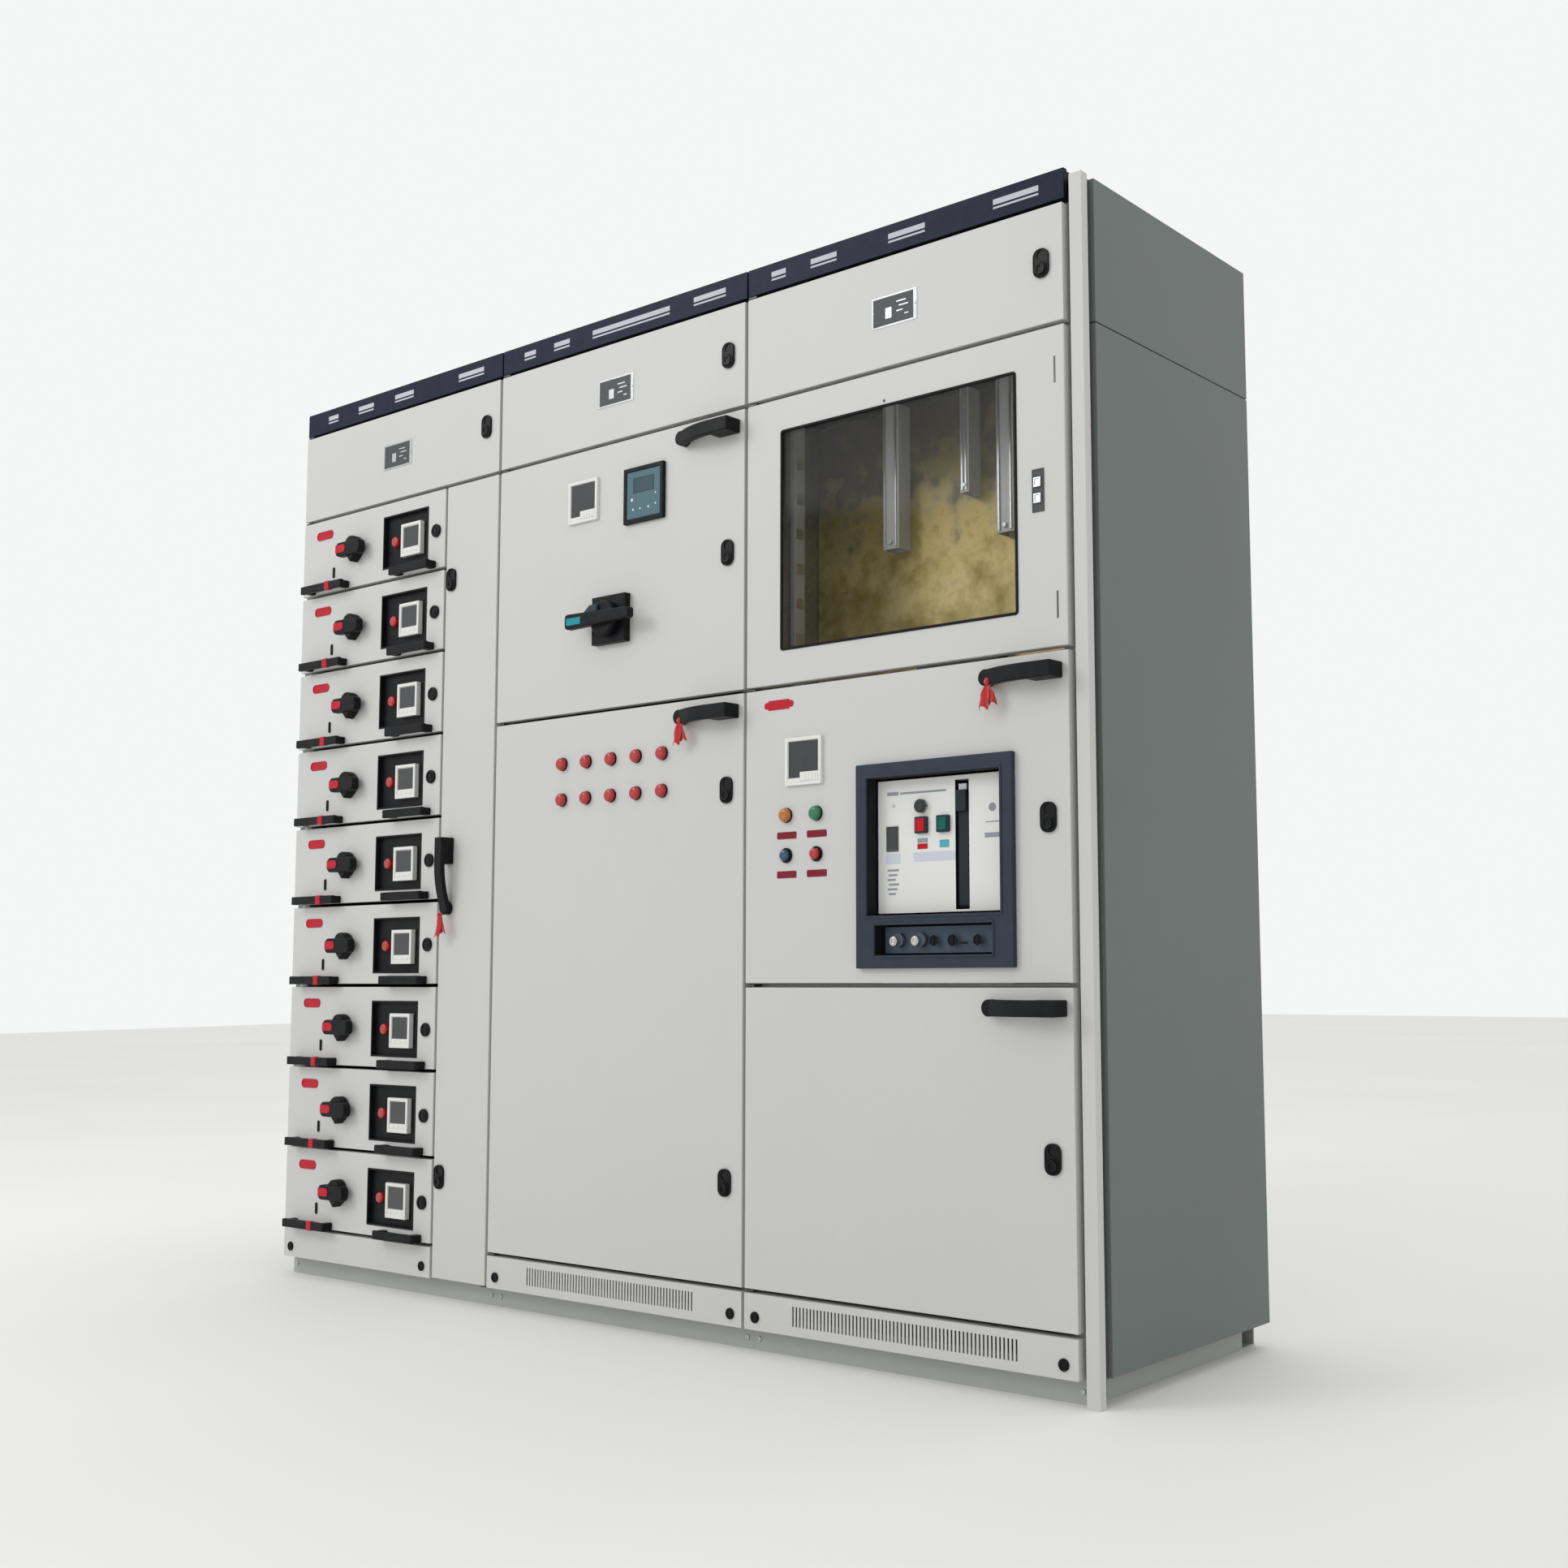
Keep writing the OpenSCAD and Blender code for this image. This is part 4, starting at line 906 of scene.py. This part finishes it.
lines = [field("line", 762, 1081, 790, 1088), field("line", 794, 1082, 905, 1086),
         field("line", 996, 1018, 1028, 1020), field("line", 994, 990, 1030, 999)]
for k in range(6):
    lines.append(field("line", 762 + 3 * (k % 2), 936 - 9 * k, 790 - 4 * (k % 3), 940 - 9 * k))
rosette = mm_disc("ring", (1012, face_y - 0.6, 1046), 8, 0.8, 24)
step(rosette, (2, 0.3))
finish(join("breaker_print", lines + [rosette]), grey_print, "black_plastic", "breaker_body")
finish(join("breaker_print_fields", [field("pale", 758, 950, 794, 970, 0.3),
                                     field("pale", 826, 952, 926, 970, 0.25)]),
       pale_print, "white_plastic", "breaker_body")
knob = mm_disc("knob", (848, face_y - 10, 1057), 13, 10, 48)
step(knob, (3, -1.5), (3.5, 1))
finish(soften(knob, 1), moulded("dark_grey_knob", "#3C3D3E", 0.4, 1.5, 0.2), "black_plastic", "breaker_body")
display = mm_block("breaker_display", (761, face_y - 2.6, 974), (789, face_y, 1022))
step(display, (3, 0.9))
finish(soften(display, 0.5), dark_glass, "black_plastic", "breaker_body")
collars = []
for x in (848, 900):
    collar = ring("collar", Vector((x - 14, face_y - 7.5, 1005)) * mm,
                  Vector((x + 14, face_y + 0.2, 1037)) * mm, 3.4 * mm, 3)
    collars.append(soften(collar, 0.8))
finish(join("button_collars", collars), slate, "slate_plastic", "breaker_body")
green_key = moulded("green_key", "#0B5E4C", 0.3, 2, 0.08)
red_key = moulded("red_key", "#B5151F", 0.3, 2, 0.08)
for name, x, material, slot in (("off_button", 848, red_key, "red_cap"),
                                ("on_button", 900, green_key, "green_cap")):
    cap = mm_block("cap", (x - 10.2, face_y - 9.4, 1009), (x + 10.2, face_y - 4.4, 1033))
    step(cap, (3, 0.8))
    stem = mm_disc("stem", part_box(name)[0] / mm + Vector((8, 5, 8)), 7.6, 8)
    finish(join(name + "_cap", [soften(cap, 1.2), soften(stem, 0.4)]), material, slot, name, name)
windows = [field("window", 836, 988, 860, 996, 1), field("window", 836, 976, 860, 986, 1.6, 0.6)]
finish(windows[0], grey_print, "white_plastic", "breaker_body")
finish(windows[1], red_key, "red_cap", "breaker_body")
windows[0].name, windows[1].name = "charge_window", "position_window"
finish(field("spring_window", 889, 977, 911, 991, 1.2, 0.5), moulded("teal_window", "#4FA7AD", 0.3, 2, 0.08),
       "blue_cap", "breaker_body")
nuts = [soften(mm_disc("screw", (777, face_y - 2, 1062), 3.4, 2, 20), 0.7)]
lever = soften(from_node("charging_lever", "charging_lever_arm"), 1.6, 3)
finish(lever, moulded("deep_slate_lever", "#232830", 0.4, 2, 0.15), "slate_plastic", "charging_lever",
       "charging_lever")
finish(join("breaker_face_screws", nuts), nickel, "zinc_bright", "breaker_body")
stop = mm_block("lever_stop", (933, face_y + 1.5, 1080), (951, face_y + 6, 1094))
finish(soften(stop, 0.8), pale_print, "white_plastic", "breaker_body")

# Racking strip and cradle. Zinc-plated side plates, and a slate-blue strip with two bright lock
# barrels; its three keyways, their slits and the crank's opening are black pieces, painted shade for the
# holes.
cradle = soften(from_node("breaker_cradle", "cradle_plates", keep=lambda low, high: low.y > -0.31), 0.8, 1)
finish(cradle, sheet_zinc, "zinc_bright", "cabinet", "breaker_cradle")
strip = soften(from_node("breaker_cradle", "racking_strip", keep=lambda low, high: low.y < -0.31), 0.9)
finish(strip, moulded("blue_grey_strip", "#4C5866", 0.38, 2, 0.15), "slate_plastic", "cabinet")
strip_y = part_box("breaker_cradle")[0].y / mm
barrels, dark = [], []
for x in (790, 842):
    barrel = mm_disc("barrel", (x, strip_y - 7, 803), 9, 7, 32)
    step(barrel, (2.5, -1), (2.5, 1.4))
    barrels.append(soften(barrel, 0.7))
# Painted shade: black pieces stand in for the keyways, their slits and the crank's opening.
for x, sides in ((882, 6), (926, 20), (984, 6)):
    keyway = mm_disc("keyway", (x, strip_y - 1, 803), 11, 1.2, sides)
    step(keyway, (2.5, 0.8))
    dark.append(soften(keyway, 0.4))
    dark.append(soften(mm_block("slit", (x - 3, strip_y - 1.6, 795), (x + 3, strip_y, 812)), 0.5))
dark.append(soften(mm_block("crank_way", (944, strip_y - 1.2, 796), (962, strip_y, 800)), 0.4))
finish(join("racking_barrels", barrels), nickel, "zinc_bright", "cabinet")
finish(join("racking_keyways", dark), rubber, "black_plastic", "cabinet")

# Drawer fronts. Each is a folded coated pan with a square cut-out for its instruments; the nine
# are alike. They slide out with their trays.
unit_low, unit_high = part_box("drawer_1")
unit = Vector((round(unit_low.x / mm - 4), -328, round(unit_high.z / mm + 4) - 200))
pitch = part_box("drawer_1")[1].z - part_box("drawer_2")[1].z


def spread(piece, material, slot, *replaced):
    """Finishes a piece of the first drawer and copies it to the others."""
    for i in range(2, 10):
        twin = copy(piece, piece.name.replace("_1", f"_{i}", 1), (0, 0, -pitch * (i - 1)))
        finish(twin, material, slot, f"drawer_{i}", *[n.replace("_1", f"_{i}") for n in replaced])
    return finish(piece, material, slot, "drawer_1", *replaced)


panel_x, panel_z, panel_w, panel_h = 440, 96, 178, 130
pan = mm_block("drawer_1_pan", (4, 0, 4), (596, 22, 196), unit)
pick(pan, faces=lambda c, n: n.y > 0.9)
bpy.ops.mesh.inset(thickness=2 * mm)
bpy.ops.mesh.extrude_region_move(TRANSFORM_OT_translate={"value": (0, -20 * mm, 0)})
bpy.ops.object.mode_set(mode="OBJECT")
hole = mm_block("hole", (panel_x - panel_w / 2, -5, panel_z - panel_h / 2),
                (panel_x + panel_w / 2, 30, panel_z + panel_h / 2), unit)
cut(pan, hole, mm_disc("hole", unit + Vector((239, -5, 97)), 5.3, 20))
low, high = corners(pan.data)
soften(pan, 1.8, 3, rim(low, high))
spread(pan, front_coat, "painted_front", "drawer_1")

# Drawer fittings. A sunk black instrument tray with a thin lip, a round lock, a key slot, and two
# nylon pulls, each a bar on two feet.
tray = mm_block("tray", (-91, -1.4, -67), (91, 19, 67), unit + Vector((panel_x, 0, panel_z)))
step(tray, (3.4, 0), (0.8, 11))
lock = mm_disc("lock", unit + Vector((564, -5, 96)), 16, 5, 40)
step(lock, (3, -1), (3, 1.6), (4, 0), (0, -1.2))
slit = mm_block("slit", (136, -2.5, 38), (144, 0, 66), unit)
blend(slit, 3.6, 4, edges=depthwise)
step(slit, (1.8, 1.2))
bar = mm_block("bar", (38, -30, 3), (212, -19, 23), unit)
feet = [mm_block("foot", (x, -20, 4), (x + 18, 0, 22), unit) for x in (44, 190)]
arch = mm_block("arch", (410, -30, 3), (566, -19, 23), unit)
blend(arch, 6, 4, edges=lambda a, b: abs(a.z - b.z) > 5 * mm and max(a.y, b.y) < (unit.y - 24) * mm)
legs = [mm_block("leg", (x, -21, 4), (x + 22, 0, 22), unit) for x in (412, 542)]
pieces = [soften(p, 2.4, 3) for p in [bar, arch] + feet + legs]
pieces += [soften(p, 0.6) for p in (tray, lock, slit)]
spread(join("drawer_1_fittings", pieces), nylon, "black_plastic")

# Drawer instruments. A white meter with a dark field and a light key strip at its foot, a red
# lamp beside it, an oval red plate at the upper left, and a red sleeve on the left pull.
at = unit + Vector((462, 0, 92))
case = mm_block("case", (-39, -2.5, -41), (39, 12, 41), at)
step(case, (5, 0), (2.4, 3))
keys = [soften(mm_block("keys", (-31, -1.6, -34), (31, 1, -20), at), 0.7)]
keys += [soften(mm_block("key", (-25 + 19 * k, -2.6, -31), (-13 + 19 * k, -1, -24), at), 0.6)
         for k in range(3)]
spread(join("drawer_1_meter", [soften(case, 1.1)] + keys), white_case, "white_plastic")
screen = mm_block("drawer_1_screen", (-30, -0.2, -19), (30, 1.2, 32), at)
step(screen, (4, 0.4))
spread(soften(screen, 0.2, 1), dark_glass, "black_plastic")
lens = mm_disc("drawer_1_lens", unit + Vector((393, -1, 95)), 13, 13, 32)
blend(lens, 5, 5, faces=lambda c, n: n.y < -0.9)
spread(soften(lens, 0.4), red_cap, "red_cap")
oval = mm_block("oval", (62, -2, 145), (132, 0, 167), unit)
blend(oval, 10.4, 6, edges=depthwise)
step(oval, (3, 1))
sleeve = soften(mm_block("sleeve", (143, -31.4, 1.6), (163, -18, 24.4), unit), 2.6, 3)
spread(join("drawer_1_red_marks", [soften(oval, 0.5), sleeve]), label_red, "red_cap")

# Drawer trays. Galvanised sheet, with the unit's switch, contactor and rear plug in dark
# mouldings; they keep their CAD shape with broken edges.
sheets = from_node("drawer_1", "drawer_1_tray", keep=lambda low, high: low.y > (unit.y + 20) * mm
                   and min(high - low) < 3 * mm)
spread(soften(sheets, 0.5, 1), sheet_zinc, "zinc_bright")
device_grey = moulded("dark_grey_thermoset", "#2A2D31", 0.5, 2, 0.3)
devices = from_node("drawer_1", "drawer_1_devices", keep=lambda low, high: low.y > (unit.y + 20) * mm
                    and min(high - low) > 3 * mm)
terminals = []
for group in islands(devices.data):
    low, high = corners(devices.data, group)
    for k in range(3):
        x = low.x + (k + 0.5) * (high.x - low.x) / 3
        pole = block("pole", (x - 11 * mm, low.y + 12 * mm, high.z - 1 * mm),
                     (x + 11 * mm, low.y + 28 * mm, high.z + 4 * mm))
        terminals.append(soften(pole, 1.2))
devices = soften(devices, 1.6)
spread(devices, device_grey, "black_plastic")
spread(join("drawer_1_terminals", terminals), bright_zinc, "zinc_bright")

# Drawer switches. Black nylon rotary handles: a round base that narrows to a point below, a cross
# bar with rounded ends, and a red pointer on its left end.
at = unit + Vector((239, 0, 97))
low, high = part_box("drawer_switch_1")
base = mm_disc("base", at + Vector((0, -10, 0)), 29, 9.4, 40)
nose = mm_block("nose", (-18, -25, -18), (18, -1, 18))
nose.data.transform(Matrix.Rotation(radians(45), 4, "Y"))
nose.data.transform(Matrix.Translation((at + Vector((4, 0, -9))) * mm))
bar = mm_block("bar", (-50, -31, -17), (50, -11, 19), at)
blend(bar, 12, 6, edges=depthwise)
crown = mm_disc("crown", at + Vector((4, -26, 8)), 25, 24, 32)
shaft = mm_disc("shaft", at + Vector((0, -3, 0)), 5, high.y / mm - at.y + 3, 20)
handle = join("drawer_switch_1_handle", [soften(base, 3, 3), soften(nose, 3, 3), soften(bar, 3.4, 3),
                                         soften(crown, 4, 3), soften(shaft, 0.5)])
pointer = mm_block("drawer_switch_1_pointer", (-48, -32.4, -8), (-8, -30, 12), at)
blend(pointer, 9, 5, edges=lambda a, b: abs(a.y - b.y) > 1 * mm and max(a.x, b.x) > (at.x - 9) * mm)
soften(pointer, 0.8)
for i in range(9, 0, -1):
    node = f"drawer_switch_{i}"
    for piece, material, slot in ((handle, nylon, "black_plastic"), (pointer, label_red, "red_cap")):
        twin = copy(piece, piece.name.replace("_1", f"_{i}"), (0, 0, -pitch * (i - 1))) if i > 1 else piece
        finish(twin, material, slot, node, *([node] if piece is handle else []))
